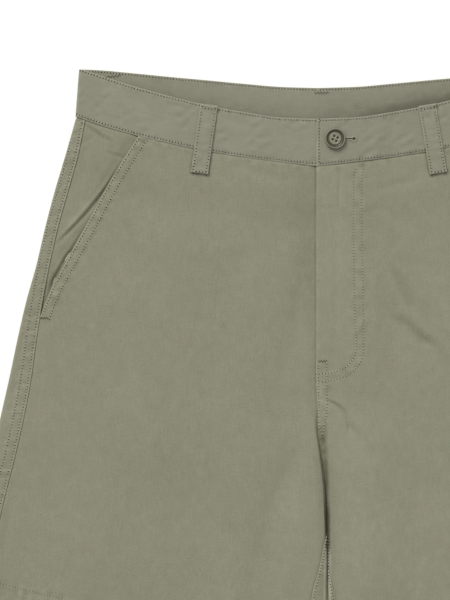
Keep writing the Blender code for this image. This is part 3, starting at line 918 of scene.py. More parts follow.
def front_lift(x, y, t, run, inner, side):
    """The lift outwards that the seams, the hem and the covered edges give, and how worn the cloth
    is there, with painted light and shade added.
    """
    fork = ease(FORK_TOP_Y, FORK_FULL_Y, row_y(0.0, t))
    inner_way = first_columns(inner, x.shape, FAR_OFF)
    past_inseam = first_columns(run - inseam_run(t, side), x.shape, FAR_OFF)
    below = below_waist(x, y)
    at_mouth = ease(POCKET_BOTTOM_Y - 6, POCKET_BOTTOM_Y + 1, y)
    lift, wear = seam_lift(MOUTH_SEAM, off_edge(front_edge_x, x, y), y, side)
    lift, wear = lift * at_mouth, wear * at_mouth
    under_strip = ease(1.2, -0.4, off_edge(side_seam_x, x, y)) * (1 - at_mouth)
    off_hem = y - hem_y(row_q(x, t))
    tuck = TUCK_DIP * (1 + 0.9 * ease(HEM_DEPTH + 8, HEM_DEPTH, off_hem))
    hem_lift, hem_wear = seam_lift(HEM_SEAM, off_hem, x, side)
    under_band = 0.45 * ease(1.8, -0.2, below) + 0.9 * ease(0.0, -1.8, below)
    lift = lift - tuck * under_strip + hem_lift - under_band
    wear = wear + hem_wear + 0.25 * dip(below - 3, 2) * unevenness(x, y, 9.0, 31)
    if side > 0:
        in_crotch = ease(CROTCH_SEAM_TOP_Y + 2, CROTCH_SEAM_TOP_Y - 2, y) * (1 - fork)
        seam, seam_wear = seam_lift(CROTCH_SEAM, inner_way, y, side)
        out_of_slit = ease(-74.0, -50.0, y)
        inner_j, outer_j = (fly_distance(x, y, turn) for turn in J_TURNS)
        rows = dip(inner_j, GROOVE_WIDTH) + dip(outer_j, GROOVE_WIDTH)
        rows = rows * ease(0.0, 2.0, below)
        puckers = unevenness(x * 0.6, y, PUCKER_SIZE, 19) * dip(outer_j + 3, 6.0)
        edge = (1 - in_crotch) * (1 - fork)
        rolled = 0.16 * ease(9.0, 1.0, inner_way) - 0.34 * ease(2.4, 0.0, inner_way)
        lift = lift + seam * in_crotch * out_of_slit + 0.16 * ease(1.6, -1.6, outer_j)
        lift = lift - 0.06 * rows + 0.08 * puckers + rolled * edge
        wear = wear + seam_wear * in_crotch * out_of_slit - 0.06 * rows + 0.2 * puckers
        wear = wear + 0.25 * dip(inner_way, 0.7) * edge
    else:
        off_fly = x + FLY_EDGE_X
        lift = lift - 0.62 * ease(7.0, -1.0, off_fly) * (1 - fork)
        # Painted shadow on the right front, along and under the fly's edge.
        fly_edge_shadow = 0.08 * ease(12.0, 2.0, off_fly) + 0.6 * dip(off_fly - 0.7, 0.9)
        wear = wear - fly_edge_shadow * (1 - fork)
    lift = lift - tuck * ease(1.2, -0.4, past_inseam) * fork
    # The front's painted light and shade, and a painted shadow line beside the inseam's strip.
    return lift, wear + painted_light_and_shade(x, y, side) - 0.1 * dip(past_inseam - 0.6, 0.9) * fork


def panel(stem, section, side, outward, columns_off, anchor, lot, settings):
    """A front or a back: its sections down the leg, and its turned hem."""
    points, wear, x = section(ROW_SHARES, side)
    whole = turned_hem(points, lambda back: section(back, side)[0], outward)
    extra = ((0, len(whole) - len(points)), (0, 0))
    across = np.pad(x, extra, mode="edge") if anchor is None else unrolled(whole, anchor)
    half = wall_half(settings.cloth.cloth_thickness / MM, ROWS_OFF, columns_off)
    wear, cut = np.pad(wear, extra, constant_values=0.5), stacked(across, whole[..., 1])
    obj = shell(*cloth_names(stem, side), whole, half, twill(settings), cut, wear, lot)
    declare(obj, whole, "cotton_twill")


def front_panel(side, settings):
    inner, middle, outer = front_columns(side)
    off = np.concatenate((inner, np.full(len(middle), INNER_REACH), outer))
    panel(
        "front", front_section, side, -side, off, None, FRONT_LOT * side,
        settings,
    )


# The columns round the side fold, and how far from its seam the strip's finer columns go.
FOLD_COLUMNS = 13
STRIP_REACH = 13.0


def back_columns():
    """Shares of the inner strip and fold, of the flat part, angles of the fold, and the strip."""
    inner = list(EDGE) + spaced(1.3, 6.0, 0.75)
    rest = np.linspace(0.0, 1.0, 26)[1:]
    flat = np.array(spaced(0.0, 1.0, 1 / 60))[1:]
    angles = np.linspace(0.0, math.pi, FOLD_COLUMNS)
    strip = spaced(1.0, 0.0, 1 / 4)[1:]
    outer = spaced(STRIP_REACH, EDGE[-1], 0.8) + list(EDGE[::-1])
    return np.array(inner), rest, flat, angles, np.array(strip), np.array(outer)


def back_section(t, side):
    """The back's points on rows t, how worn they are with painted shade added, and their x before
    the crotch leans.
    """
    inner, rest, flat, angles, strip, outer = (part[None, :] for part in back_columns())
    y0, gap = row_y(0.0, t), half_gap(t)
    fold = (gap, front_z(gap + FOLD_WIDTH, y0, side), back_z(gap, y0, side))
    _, _, to_foot, round_foot = fold_profile(np.zeros_like(t), *fold)
    run_edge = inseam_run(t, side)
    run_end = -(to_foot + round_foot + FOLD_FLAT)
    rest_way = mix(inner[:, -1:] + 0 * t, run_edge - run_end, rest)
    way = np.concatenate((inner + 0 * t, rest_way), axis=1)
    x_fold, z_fold, _, _ = fold_profile(run_edge - way, *fold)
    reach = fold_profile(run_end, *fold)[0]
    share = way / (run_edge - run_end)
    x_flat = mix(0.05 if side > 0 else -TUCK, reach, share)
    # The foot of the fold forms first, and then the strip climbs onto the front.
    early = FORK_LAG * ease(0.0, 0.4, share)
    formed = ease(FORK_TOP_Y + early, FORK_FULL_Y + early, y0)
    x_in = mix(x_flat, x_fold, formed)
    on_back = ease(0.0, 1.0, share) * formed + (1 - formed)
    y_in = row_y(row_q(x_in, t), t, on_back)
    z_in = mix(back_z(x_in, y_in, side), z_fold, formed)

    edge_x, edge_y = fold_x(t), fold_y(t)
    low_side = back_z(edge_x, edge_y, side)
    radius = (front_z(edge_x - 2.2, edge_y, side) - low_side) / 2
    turn_x = edge_x - radius
    x_flat = mix(reach, turn_x, flat)
    y_flat = row_y(row_q(x_flat, t), t, 1.0)
    x_turn = edge_x - radius * (1 - np.sin(angles))
    y_turn = row_y(row_q(turn_x, t), t, 1 - angles / math.pi)
    z_turn = low_side + radius * (1 - np.cos(angles))
    x_seam = row_x(q_at(side_seam_x, t), t)
    reach_out = np.minimum(STRIP_REACH, (turn_x - x_seam) * 0.8)
    x_strip = (mix(x_seam + reach_out, turn_x, strip), x_seam + outer * reach_out / STRIP_REACH)
    x_strip = np.concatenate(x_strip, axis=1)
    y_strip = row_y(row_q(x_strip, t), t)
    x = np.concatenate((x_in, x_flat, x_turn, x_strip), axis=1)
    y = np.concatenate((y_in, y_flat, y_turn + 0 * x_turn, y_strip), axis=1)
    z_flat, z_strip = back_z(x_flat, y_flat, side), front_z(x_strip, y_strip, side)
    z = np.concatenate((z_in, z_flat, z_turn, z_strip), axis=1)
    points = place(x, y, z, side)
    lift, wear = back_lift(x, y, t, way, side)
    run = run_edge - way
    above_foot = ease(-1.0, 1.5, run + to_foot + round_foot)
    seen = ease(FORK_TOP_Y, FORK_TOP_Y - 8, y0)
    # Painted shade down in the fold, above its foot.
    wear[:, : way.shape[1]] -= painted_fold_shade(run, y0) * above_foot * seen
    return points + grid_normals(points) * side * lift[..., None], wear, x


def back_lift(x, y, t, way, side):
    """Lift away from the inside of the leg, on the strips in front and on the back."""
    fork = ease(FORK_TOP_Y, FORK_FULL_Y, row_y(0.0, t))
    _, _, _, angles, strip, outer = back_columns()
    ends = len(strip) + len(outer)
    # The strip in front begins over the last columns of the side fold.
    on_strip = np.zeros(x.shape[1])
    on_strip[-ends:] = 1.0
    on_strip[-ends - 5 : -ends] = np.linspace(0, 1, 7)[1:-1]
    from_seam = -off_edge(side_seam_x, x, y)
    lift, wear = seam_lift(SIDE_SEAM, from_seam, y, side)
    lift = (lift + LAP * ease(14.0, 6.0, from_seam)) * on_strip
    inner_way = first_columns(way, x.shape, FAR_OFF)
    run = first_columns(inseam_run(t, side) - way, x.shape, -FAR_OFF)
    seam, seam_wear = seam_lift(INSEAM, inner_way, y, side)
    upper = ease(-4.0, -1.0, run) * fork
    lift = lift + (seam + 0.25 * ease(8.0, 3.0, inner_way)) * upper
    hem_lift, hem_wear = seam_lift(BACK_HEM_SEAM, y - hem_y(row_q(x, t)), x, side)
    lift = lift + (hem_lift - HEM_SEAM.rise) * (1 - on_strip) * 0.6 + hem_lift * on_strip
    wear = wear * on_strip + seam_wear * upper * fork**2 + hem_wear
    on_back = np.ones(x.shape[1])
    on_back[-ends - len(angles) :] = 0.0
    tuck = ease(1.6, -0.4, back_seam_y(x / HALF_WAIST) - y) * on_back
    front_tuck = ease(1.6, -0.4, below_waist(x, y)) * (1 - on_back)
    lift = lift - 0.8 * tuck - 1.25 * front_tuck
    seat = (1 - fork) * ease(40, 25, np.abs(x))
    if side > 0:
        seam, seam_wear = seam_lift(BACK_SEAM, x, y, side)
        return lift + (seam - 0.02) * seat, wear + seam_wear * seat
    lift = lift - TUCK_DIP * ease(1.2, -0.4, x) * seat
    # Painted shadow on the right back, beside the left back's edge that laps over it.
    return lift, wear - 0.6 * dip(x - 0.5, 0.9) * seat


def back_panel(side, settings):
    inner, rest, flat, angles, strip, outer = back_columns()
    far = np.full(len(rest) + len(flat) + len(angles) + len(strip), STRIP_REACH)
    off = np.concatenate((inner, far, outer))
    panel(
        "back", back_section, side, side, off, len(inner) + len(rest) + 4,
        BACK_LOT + FRONT_LOT * side, settings,
    )


# The waistband and its belt loops.


def band_point(x, across, on_back=False):
    """x and y on the waistband, across it from its seam (0) to its top edge (1)."""
    off = np.abs(x)
    low = back_seam_y(off / HALF_WAIST) if on_back else curve(WAIST, "front_seam", off)
    high = curve(WAIST, "back_top" if on_back else "front_top", off)
    narrowing = mix(1.0, BAND_TOP_HALF_WAIST / HALF_WAIST, across)
    return x * narrowing, mix(low, high, across)


def band_relief(x, y, side):
    """Creases, and the small wrinkles of a band that has shrunk a little on its lining."""
    whole_x = side * x
    where = ease(-0.6, 1.2, unevenness(whole_x, y, 24.0, 54))
    small = 0.20 * unevenness(whole_x + 0.5 * y, y, 6.5, 55) * where
    creases = CREASE_LIFT * creased(BAND_CREASES, whole_x, y)
    return creases + uneven(BAND_WAVES, whole_x, y) + small


BAND_ACROSS = np.array(graded(BAND_WIDTH, (4.4, 0.65), 1.3, (4.4, 0.65)))


def band_painted_shade(x, y, side, along):
    """How much lighter or darker each half is drawn, with painted shade inside the waist above all,
    where the front shades it.
    """
    middle = along[-1] * 0.5
    outside = ease(middle - 4, middle + 4, along)[None, :]
    front_top = curve(WAIST, "front_top", np.abs(x))
    shaded = ease(20.0, 2.0, y - front_top) * ease(175.0, 120.0, np.abs(x))
    shaded = shaded * (0.42 + 0.66 * ease(-10.0, 60.0, side * x))
    tone_outside, tone_and_shade_inside = BAND_TONE_AND_SHADE[side]
    return tone_outside * outside + (tone_and_shade_inside - shaded) * (1 - outside)


def waistband(side, settings):
    """From the centre of the back, round the side fold, to the centre of the front."""
    radius = (BAND_FRONT_Z - BAND_BACK_Z) / 2
    turn_x = HALF_WAIST - radius
    end = FLY_EDGE_X if side > 0 else -UNDERLAP
    across = BAND_ACROSS[:, None] / BAND_WIDTH
    # The halves meet at the centre of the back. They run a little past each other, as the seam
    # is pressed so flat that it doesn't show.
    back = np.array([-e for e in EDGE[:0:-1]] + [0.0, 0.6] + spaced(1.4, turn_x, 2.0))[None, :]
    angles = np.linspace(0.0, math.pi, 15)[None, :]
    front = spaced(turn_x, end + 4, 1.2)[1:] + spaced(end + 4, end + EDGE[-1], 0.7)
    front = np.array(front + [end + e for e in EDGE[::-1]])[None, :]
    x_back, y_back = band_point(back, across, on_back=True)
    z_back = BAND_BACK_Z + 0.10 * unevenness(side * x_back, y_back, 50.0, 53) * (1 - 0.3 * across)
    x_turn, y_low = band_point(turn_x + 0 * angles, across, on_back=True)
    y_turn = mix(y_low, band_point(turn_x + 0 * angles, across)[1], angles / math.pi)
    z_turn = BAND_BACK_Z + radius * (1 - np.cos(angles))
    z_turn = z_turn + band_relief(x_turn, y_turn, side) * angles / math.pi
    x_turn = x_turn + radius * np.sin(angles)
    x_front, y_front = band_point(front, across)
    z_front = BAND_FRONT_Z + band_relief(x_front, y_front, side)
    z_front = z_front - 0.40 * ease(3.0, 0.0, BAND_ACROSS[:, None])
    if side > 0:
        z_front = z_front + OVERLAP_RISE * overlap_share(x_front)
    x = np.concatenate((x_back, x_turn, x_front), axis=1)
    y = np.concatenate((y_back, y_turn, y_front), axis=1)
    z = np.concatenate((z_back, z_turn, z_front), axis=1)
    points = stacked(side * x, y, z)
    way_round = 2 * turn_x + BAND_TURN_LENGTH
    along = np.concatenate((back, turn_x + radius * angles, way_round - front), axis=1)[0]
    from_end = along[-1] - along
    rows = dip(BAND_WIDTH - BAND_ACROSS - BAND_ROW_TOP, GROOVE_WIDTH)
    rows = rows + dip(BAND_ACROSS - BAND_ROW_BOTTOM, GROOVE_WIDTH)
    end_row = dip(from_end - BAND_ROW_END, GROOVE_WIDTH) if side > 0 else 0 * along
    pinch = np.maximum(rows[:, None], end_row[None, :])
    puckers = unevenness(x, y * 0.4, 5.0, 57 + side)
    off = edge_distance(BAND_ACROSS)
    half = wall_half(settings.cloth.band_thickness / MM, off, edge_distance(along))
    half = half * (1 - 0.2 * pinch * (1 + 0.3 * puckers))
    off = np.minimum(off[:, None], from_end[None, :])
    wear = 0.9 * dip(off, 0.8) - 0.16 * pinch * (1 + 0.5 * puckers)
    wear = wear + 0.2 * puckers * ease(7.0, 1.0, off) + band_painted_shade(x, y, side, along)
    cut = stacked(BAND_ACROSS[:, None], side * along[None, :])
    finish = twill(settings)
    obj = shell(*cloth_names("waistband", side), points, half, finish, cut, wear, BAND_LOT)
    return declare(obj, points, "cotton_twill")


def loop_height(loop, share):
    """The middle of a strap: over the waistband, a little bowed, and down to the front."""
    if not loop.on_front:
        return LOOP_THICKNESS / 2 + 0.1 + 0 * share
    over = BAND_FRONT_Z + BAND_THICKNESS / 2 + 0.25 + LOOP_THICKNESS / 2
    return over + 0.35 * dip(share - 0.45, 0.3) - 0.15 * ease(0.72, 0.95, share)


def belt_loop(loop, settings):
    """A folded strap, sewn down at both ends, with its top end turned under in a lip."""
    top, length, along, across = axes(loop[1:3], loop[3:5])
    width = settings.cloth.loop_width / MM
    down = np.array(graded(length, (5.0, 0.7), 1.6, (4.0, 0.8)))
    over = np.array(graded(width, (3.4, 0.55), 1.2, (3.4, 0.55)))
    s, c = down[:, None], over[None, :] - width / 2
    flat = top + s[..., None] * along + c[..., None] * across
    z = loop_height(loop, s / length) + 0 * c
    if loop.on_front:
        z = z + band_relief(flat[..., 0], flat[..., 1], 1)
        z = z + 0.30 * ease(3.4, 2.0, s) - 0.22 * dip(s - LOOP_TACK, 0.7)
    else:
        z = z + 0.5 * ease(3.4, 1.5, s)
    off = np.minimum(over, width - over)[None, :]
    rows = dip(off - LOOP_ROW, 0.6)
    puckers = unevenness(c * 0.5, s, 5.5, int(60 + loop.top_x % 10))
    half = wall_half(LOOP_THICKNESS, edge_distance(down), edge_distance(over))
    half = half * (1 - 0.28 * rows * (1 + 0.4 * puckers))
    z = z + 0.06 * puckers * ease(0.0, 1.0, off)
    points = np.concatenate((flat, z[..., None]), axis=2)
    wear = 0.8 * dip(off, 0.7) - 0.3 * rows * (1 + 0.5 * puckers) + 0.3 * ease(3.0, 1.5, s)
    wear = wear - 0.5 * dip(s - 3.3, 0.7) + 0.15 * puckers
    lot, finish = LOOP_LOT + 7 * loop.top_x, twill(settings)
    obj = shell(loop.name + "_strap", points, half, finish, stacked(c, s), wear, lot)
    declare(obj, points, "cotton_twill")


# What lies between the front and the back.


def inner_sheet(name, x, y, z, side, thickness, finish, slot, lot, wear=0.0):
    """A plain layer of cloth inside the garment, from arrays of its half coordinates."""
    points = place(x, y, z, side)
    down = np.linalg.norm(np.diff(points[:, 0], axis=0), axis=1)
    wide = np.linalg.norm(np.diff(points, axis=1), axis=2).mean(axis=0)
    off = [edge_distance(np.concatenate(([0.0], np.cumsum(steps)))) for steps in (down, wide)]
    half = wall_half(thickness / MM, *off)
    half[0, :] = half[-1, :] = half[:, 0] = half[:, -1] = 0.0
    wear = np.zeros(points.shape[:2]) + wear
    obj = shell(name, points, half, finish, stacked(x, y), wear, lot)
    declare(obj, points, slot)


def between(inner_edge, outer_edge, t, shares):
    """Points on rows t, spread between two edges whose x is a function of y."""
    x = row_x(mix(q_at(inner_edge, t), q_at(outer_edge, t), shares), t)
    return x, row_y(row_q(x, t), t)


def pocket_facing(side, sizes, finish):
    """The side piece inside the pocket's mouth, which tucks under the front and the strip."""

    def shown_x(y):
        return np.minimum(mouth_x(y), side_seam_x(y))

    def hidden_x(y):
        return np.minimum(side_seam_x(y) - FACING_LEDGE, mouth_x(y)) - FACING_UNDER_FRONT

    t = np.array(spaced(-TUCK, 6, 1.0) + spaced(6, FACING_BOTTOM * LEG, 1.3))[:, None] / LEG
    shares = np.concatenate((np.linspace(0, 0.3, 9), np.linspace(0.32, 1.0, 46)))
    x, y = between(hidden_x, lambda y: side_seam_x(y) + TUCK, t, shares)
    off_mouth = -off_edge(shown_x, x, y)
    off_seam = off_edge(side_seam_x, x, y)
    creases = creased(FACING_CREASES, -x, y)
    z = front_z(x, y, side) - (FRONT_Z - FACING_Z)
    z = z + 1.15 * ease(1.0, 9.0, off_mouth) - 0.60 * ease(1.6, -0.6, off_seam)
    z = z + creases * ease(-1.0, 1.0, off_mouth) + 0.05 * unevenness(x, y, 14.0, 71 + side)
    z = z - 0.9 * ease(1.6, -0.4, below_waist(x, y))
    # Painted shade: darker in the troughs of the creases and lighter on their ridges, darker where
    # the facing dips under the mouth's edge, and a little darker all over.
    wear = 0.45 * creases - 0.3 * dip(off_mouth - 0.2, 1.4) - 0.1
    inner_sheet(
        *cloth_names("pocket_facing", side), x, y, z, side, sizes.cloth_thickness, finish,
        "cotton_twill", FACING_LOT + 15 * side, wear,
    )


def pocket_bag(side, sizes, finish):
    t = np.array(spaced(0.5, BAG_BOTTOM * LEG, 5.0))[:, None] / LEG
    x, y = between(
        lambda y: curve(POCKET, "bag_x", y), lambda y: side_seam_x(y) - BAG_IN_FROM_SEAM, t,
        np.linspace(0.0, 1.0, 26),
    )
    z = BAG_Z + waist_rise(below_waist(x, y)) + 0.12 * unevenness(x, y, 40.0, 81 + side)
    inner_sheet(
        *cloth_names("pocket_bag", side), x, y, z, side, sizes.pocketing_thickness, finish,
        "pocketing", 0,
    )


def fly_pieces(sizes, twill, tape):
    """The under flap of the fly, and the tape of the closed zip that it hides."""
    top = float(below_waist(0.0, 0.0)) - SHIELD_TOP_DROP
    y = np.linspace(top, FLY_BOTTOM_Y, 60)[:, None]
    narrow = 16.0 * ease(40.0, FLY_BOTTOM_Y, y)
    x = mix(-SHIELD_IN, SHIELD_OUT - narrow, np.linspace(0.0, 1.0, 22)[None, :])
    inner_sheet(
        "fly_shield_cloth", x, y, BAG_Z + waist_rise(below_waist(0.0, y)), 1,
        sizes.cloth_thickness, twill, "cotton_twill", SHIELD_LOT,
    )
    y = np.linspace(top - 1, top - 1 - ZIP_LENGTH, 50)[:, None]
    x = ZIP_X + ZIP_WIDTH * np.linspace(0.0, 1.0, 14)[None, :]
    inner_sheet(
        "fly_zip_tape", x, y, FACING_Z - 0.1 + waist_rise(below_waist(0.0, y)), 1,
        sizes.tape_thickness, tape, "zip_tape", ZIP_LOT,
    )


# The button, and shapes that are turned or cut.


def turned(name, profile, centre, finish, steps=72):
    """A closed shape turned from (radius, height) points, the first and last on the axis."""
    build = bmesh.new()
    rings = []
    for radius, height in profile:
        ring = []
        for i in range(steps if radius > 0 else 1):
            angle = 2 * math.pi * i / steps
            at = Vector((radius * math.cos(angle), radius * math.sin(angle), height))
            ring.append(build.verts.new(at * MM + Vector(centre) * MM))
        rings.append(ring)
    for ring, after in zip(rings, rings[1:]):
        for i in range(steps):
            corners = [ring[k % len(ring)] for k in (i, i + 1)]
            corners += [after[k % len(after)] for k in (i + 1, i)]
            build.faces.new(list(dict.fromkeys(corners)))
    return plain_object(name, build, finish)


def prism(name, outline, low, high, finish):
    """A closed shape with straight walls over an outline."""
    build = bmesh.new()
    ends = [[build.verts.new((x * MM, y * MM, z * MM)) for x, y in outline] for z in (low, high)]
    build.faces.new(ends[0][::-1])
    build.faces.new(ends[1])
    for i, j in zip(range(len(outline)), list(range(1, len(outline))) + [0]):
        build.faces.new((ends[0][i], ends[0][j], ends[1][j], ends[1][i]))
    return plain_object(name, build, finish)


def plain_object(name, build, finish):
    bmesh.ops.recalc_face_normals(build, faces=build.faces)
    mesh = bpy.data.meshes.new(name)
    build.to_mesh(mesh)
    build.free()
    mesh.shade_smooth()
    return linked(name, mesh, finish)


def baked(obj):
    """Turns a piece and its modifiers into a plain mesh."""
    depsgraph = bpy.context.evaluated_depsgraph_get()
    whole = bpy.data.meshes.new_from_object(obj.evaluated_get(depsgraph), depsgraph=depsgraph)
    obj.modifiers.clear()
    old, obj.data = obj.data, whole
    bpy.data.meshes.remove(old)
    if not whole.polygons:
        raise RuntimeError(f"{obj.name} has no faces")
    return obj


def carve(obj, cutters):
    for cutter in cutters:
        modifier = obj.modifiers.new("Cut", "BOOLEAN")
        modifier.operation, modifier.solver, modifier.object = "DIFFERENCE", "EXACT", cutter
    baked(obj)
    build = bmesh.new()
    build.from_mesh(obj.data)
    bmesh.ops.remove_doubles(build, verts=build.verts, dist=0.03 * MM)
    bmesh.ops.dissolve_degenerate(build, edges=build.edges, dist=0.01 * MM)
    build.to_mesh(obj.data)
    build.free()
    for cutter in cutters:
        bpy.data.objects.remove(cutter)


BUTTON_X, BUTTON_Y, BUTTON_Z = 13.5, 190.3, 9.0
BUTTON_HOLES = 4
BUTTON_TURN = math.radians(20)
SHANK_BOTTOM = 6.9
# The buttonhole: the round eye at its end, and its slit.
EYE_X, EYE_RADIUS = 28.7, 1.4
SLIT_START_X, SLIT_HALF_WIDTH = 13.0, 0.35
# How light the button is painted at shares of its radius: its middle, painted shade in its groove,
# a painted highlight on its rim, and painted shade at its outer edge.
BUTTON_LIGHT_RINGS = ((0.55, 0.85), (0.64, 0.05), (0.84, 0.0), (0.915, 1.0), (0.955, 0.9), (0.99, 0.1))
# Shares of the button's radius and of its thickness, from its underside round to its middle.
BUTTON_PROFILE = [
    (0, 0.0), (0.5, 0.0), (0.78, 0.04), (0.93, 0.16), (0.99, 0.36), (1.0, 0.56), (0.99, 0.78),
    (0.965, 0.93), (0.935, 1.0), (0.90, 0.97), (0.87, 0.86), (0.82, 0.66), (0.76, 0.50),
    (0.70, 0.41), (0.65, 0.40), (0.62, 0.47), (0.59, 0.59), (0.56, 0.64), (0.50, 0.65),
    (0.3, 0.62), (0, 0.60),
]


def hole_centres(sizes):
    reach = sizes.hole_circle / MM
    angles = [BUTTON_TURN + 2 * math.pi * i / BUTTON_HOLES for i in range(BUTTON_HOLES)]
    return [(BUTTON_X + reach * math.cos(a), BUTTON_Y + reach * math.sin(a)) for a in angles]


def button_strands(sizes):
    """The thread over the button, two strands from each hole to the one beside it."""
    holes = hole_centres(sizes)
    low = BUTTON_Z + 0.55 * sizes.thickness / MM - 1.1
    share = np.linspace(0, 1, 12)
    z = low + 1.1 * np.sin(share * math.pi) ** 0.6
    for start, end in ((0, 1), (3, 2)):
        x, y = (mix(a, b, share) for a, b in zip(holes[start], holes[end]))
        for shift in (-0.22, 0.22):
            yield stacked(x + shift, y + 0.3 * shift, z)


def button(sizes, plastic):
    radius, thickness = sizes.radius / MM, sizes.thickness / MM
    profile = [(r * radius, z * thickness) for r, z in BUTTON_PROFILE]
    obj = turned("button_turned", profile, (BUTTON_X, BUTTON_Y, BUTTON_Z), plastic)
    bore, flare = sizes.hole_radius / MM, 1.45 * sizes.hole_radius / MM
    level = 0.61 * thickness
    shape = [(0, -1), (flare, -1), (bore, 0.5), (bore, level - 0.55), (1.12 * bore, level - 0.2)]
    shape += [(flare, level + 0.08), (flare + 0.3, level + 1.0), (0, level + 1.0)]
    centres = hole_centres(sizes)
    carve(obj, [turned("cutter", shape, (*at, BUTTON_Z), plastic, 20) for at in centres])
    obj.data.shade_smooth()
    enrol(obj, "button_plastic", "button")


def shank_profile(bottom, top):
    """Wound thread: a stem with a bead for each turn."""
    heights = np.linspace(bottom, top, 26)
    beads = 1.15 + 0.16 * np.abs(np.sin(heights * math.pi / 0.5))
    return [(0, bottom)] + list(zip(beads, heights)) + [(0, top)]


# Lines of stitches. Each is a chain of points close to the pieces that it is sewn on, which is
# then laid on what shows of them from above (face 1) or from below (face -1).

Line = namedtuple("Line", "points pieces face")
# From one point to the next, and from the middle of the waistband out to its lines.
STEP = 1.0
OVER = 0.7
# How far from the line the cloth may lie, and how level it has to be there.
SNAP = 2.4
STEEP = 0.5
# Where the search for the cloth starts, and how far above it each kind of thread lies.
RAY_START = 40.0
OVER_ALL = 20.0
STITCH_ABOVE = 0.02
PURL_ABOVE = 0.1
TACK_ABOVE = 0.12


def on_front(x, y, side):
    return place(x, y, front_z(np.abs(x), y, side), side)


def beside(edge, y, distance):
    """Points at a distance from an edge whose x is a function of y, positive to the inside."""
    slope, longer = slope_of(edge, y)
    off = distance / longer
    return edge(y) - off, y + off * slope


def steps_between(start, end):
    return np.linspace(start, end, max(2, int(abs(end - start) / STEP)))


def band_line(x, across, z, side, pieces, face, on_back=False):
    at_x, at_y = band_point(x, across, on_back)
    return Line(stacked(side * at_x, at_y, z), pieces, face)


def waistband_lines():
    low, high = BAND_ROW_BOTTOM / BAND_WIDTH, 1 - BAND_ROW_TOP / BAND_WIDTH
    x_back = steps_between(1.0, HALF_WAIST - 1.5)
    for side in SIDES:
        band, both = cloth_names("waistband", side), cloth_names("waistband", side, -side)
        x = np.abs(steps_between(FLY_EDGE_X + 1.0 if side > 0 else 1.0, HALF_WAIST - 1.5))
        z = BAND_FRONT_Z + OVER + (OVERLAP_RISE * overlap_share(x) if side > 0 else 0.0)
        for across in (low, high):
            yield band_line(x, across, z, side, band, 1)
            yield band_line(x_back, across, BAND_BACK_Z - OVER, side, band, -1, True)
        yield band_line(x_back, high, BAND_BACK_Z + OVER, side, both, 1, True)
    across = np.linspace(0.06, 0.955, 34)
    at_x, at_y = band_point(0.001, across)
    z = BAND_FRONT_Z + OVERLAP_RISE + OVER
    yield Line(stacked(at_x + FLY_EDGE_X + BAND_ROW_END, at_y, z), cloth_names("waistband", 1), 1)


def fly_lines():
    for turn in J_TURNS:
        y = steps_between(167.0, turn.top_y)
        angle = np.linspace(0, math.pi / 2, 46)
        power = 2 / turn.squareness
        widest = float(curve(FLY, turn.column, turn.top_y))
        x = np.concatenate((curve(FLY, turn.column, y), widest * np.cos(angle) ** power))
        y = np.concatenate((y, turn.top_y - turn.drop * np.sin(angle) ** power))
        keep = x > -0.6
        yield Line(on_front(x[keep], y[keep], 1), cloth_names("front", 1), 1)
    points = front_section(ROW_SHARES, 1)[0]
    inner = front_columns(1)[0]
    for row in CROTCH_ROWS:
        chain = np.array([
            [np.interp(row, inner, across[: len(inner), axis]) for axis in range(3)]
            for across in points
        ])
        chain = chain[(chain[:, 1] < CROTCH_SEAM_TOP_Y) & (chain[:, 1] > CROTCH_ROWS_END_Y)]
        yield Line(chain, cloth_names("front"), 1)


def pocket_lines():
    for side in SIDES:
        for row in MOUTH_SEAM.rows:
            x, y = beside(mouth_x, steps_between(200.0, POCKET_BOTTOM_Y + 1), row)
            keep = below_waist(x, y) > 1.0
            yield Line(on_front(x[keep], y[keep], side), cloth_names("front", side), 1)


def side_lines():
    for side in SIDES:
        for row in SIDE_SEAM.rows:
            x, y = beside(side_seam_x, steps_between(206.0, -205.0), -row)
            keep = (y > hem_y(row_q(x, 0.97)) + 1.0) & (x < curve(SIDE, "fold_x", y) - 1.0)
            yield Line(on_front(x[keep], y[keep], side), cloth_names("back", side), 1)


def leg_lines():
    y = steps_between(FORK_TOP_Y - 6, HEM_INNER_Y + 1)
    top_y = float(row_y(0.0, 0.0))
    t = (top_y - y) / (top_y - HEM_INNER_Y)
    gap = half_gap(t)
    for side in SIDES:
        run = inseam_run(t, side) - INSEAM.rows[0]
        fold = (gap, front_z(gap + FOLD_WIDTH, y, side), back_z(gap, y, side))
        x, z, _, _ = fold_profile(run, *fold)
        yield Line(place(x, y, z, side), cloth_names("back", side), 1)


def hem_lines():
    q = np.linspace(0.0, 1.0, 290)
    x, y = row_x(q, HEM_LINE / LEG), hem_y(q) + HEM_DEPTH
    keep = (x > float(half_gap(1.0)) * 0.5) & (q < 0.995)
    x, y = x[keep], y[keep]
    for side in SIDES:
        pieces = cloth_names("front", side) + cloth_names("back", side)
        yield Line(on_front(x, y, side), pieces, 1)
        yield Line(place(x, y, back_z(x, y, side), side), cloth_names("back", side), -1)


def seat_lines():
    y = steps_between(190.0, FORK_TOP_Y)
    for row in BACK_SEAM.rows:
        yield Line(place(row, y, back_z(row + 0 * y, y, 1) - 0.3, 1), cloth_names("back"), -1)


def loop_lines():
    for loop in LOOPS:
        top, length, along, across = axes(loop[1:3], loop[3:5])
        face = 1 if loop.on_front else -1
        row, end = LOOP_WIDTH / 2 - LOOP_ROW, LOOP_WIDTH / 2 - 0.6
        ends = [(1.0, c, length - 1.0, c) for c in (-row, row)]
        ends += [(s, -end, s, end) for s in (LOOP_TACK, length - 1.3)]
        for s0, c0, s1, c1 in ends:
            share = np.linspace(0, 1, max(12, int(length if s1 > s0 else 13)))[:, None]
            s, c = mix(s0, s1, share), mix(c0, c1, share)
            z = loop_height(loop, s / length) + face * LOOP_THICKNESS / 2
            points = np.concatenate((top + s * along + c * across, z), axis=1)
            yield Line(points, [loop.name + "_strap"], face)


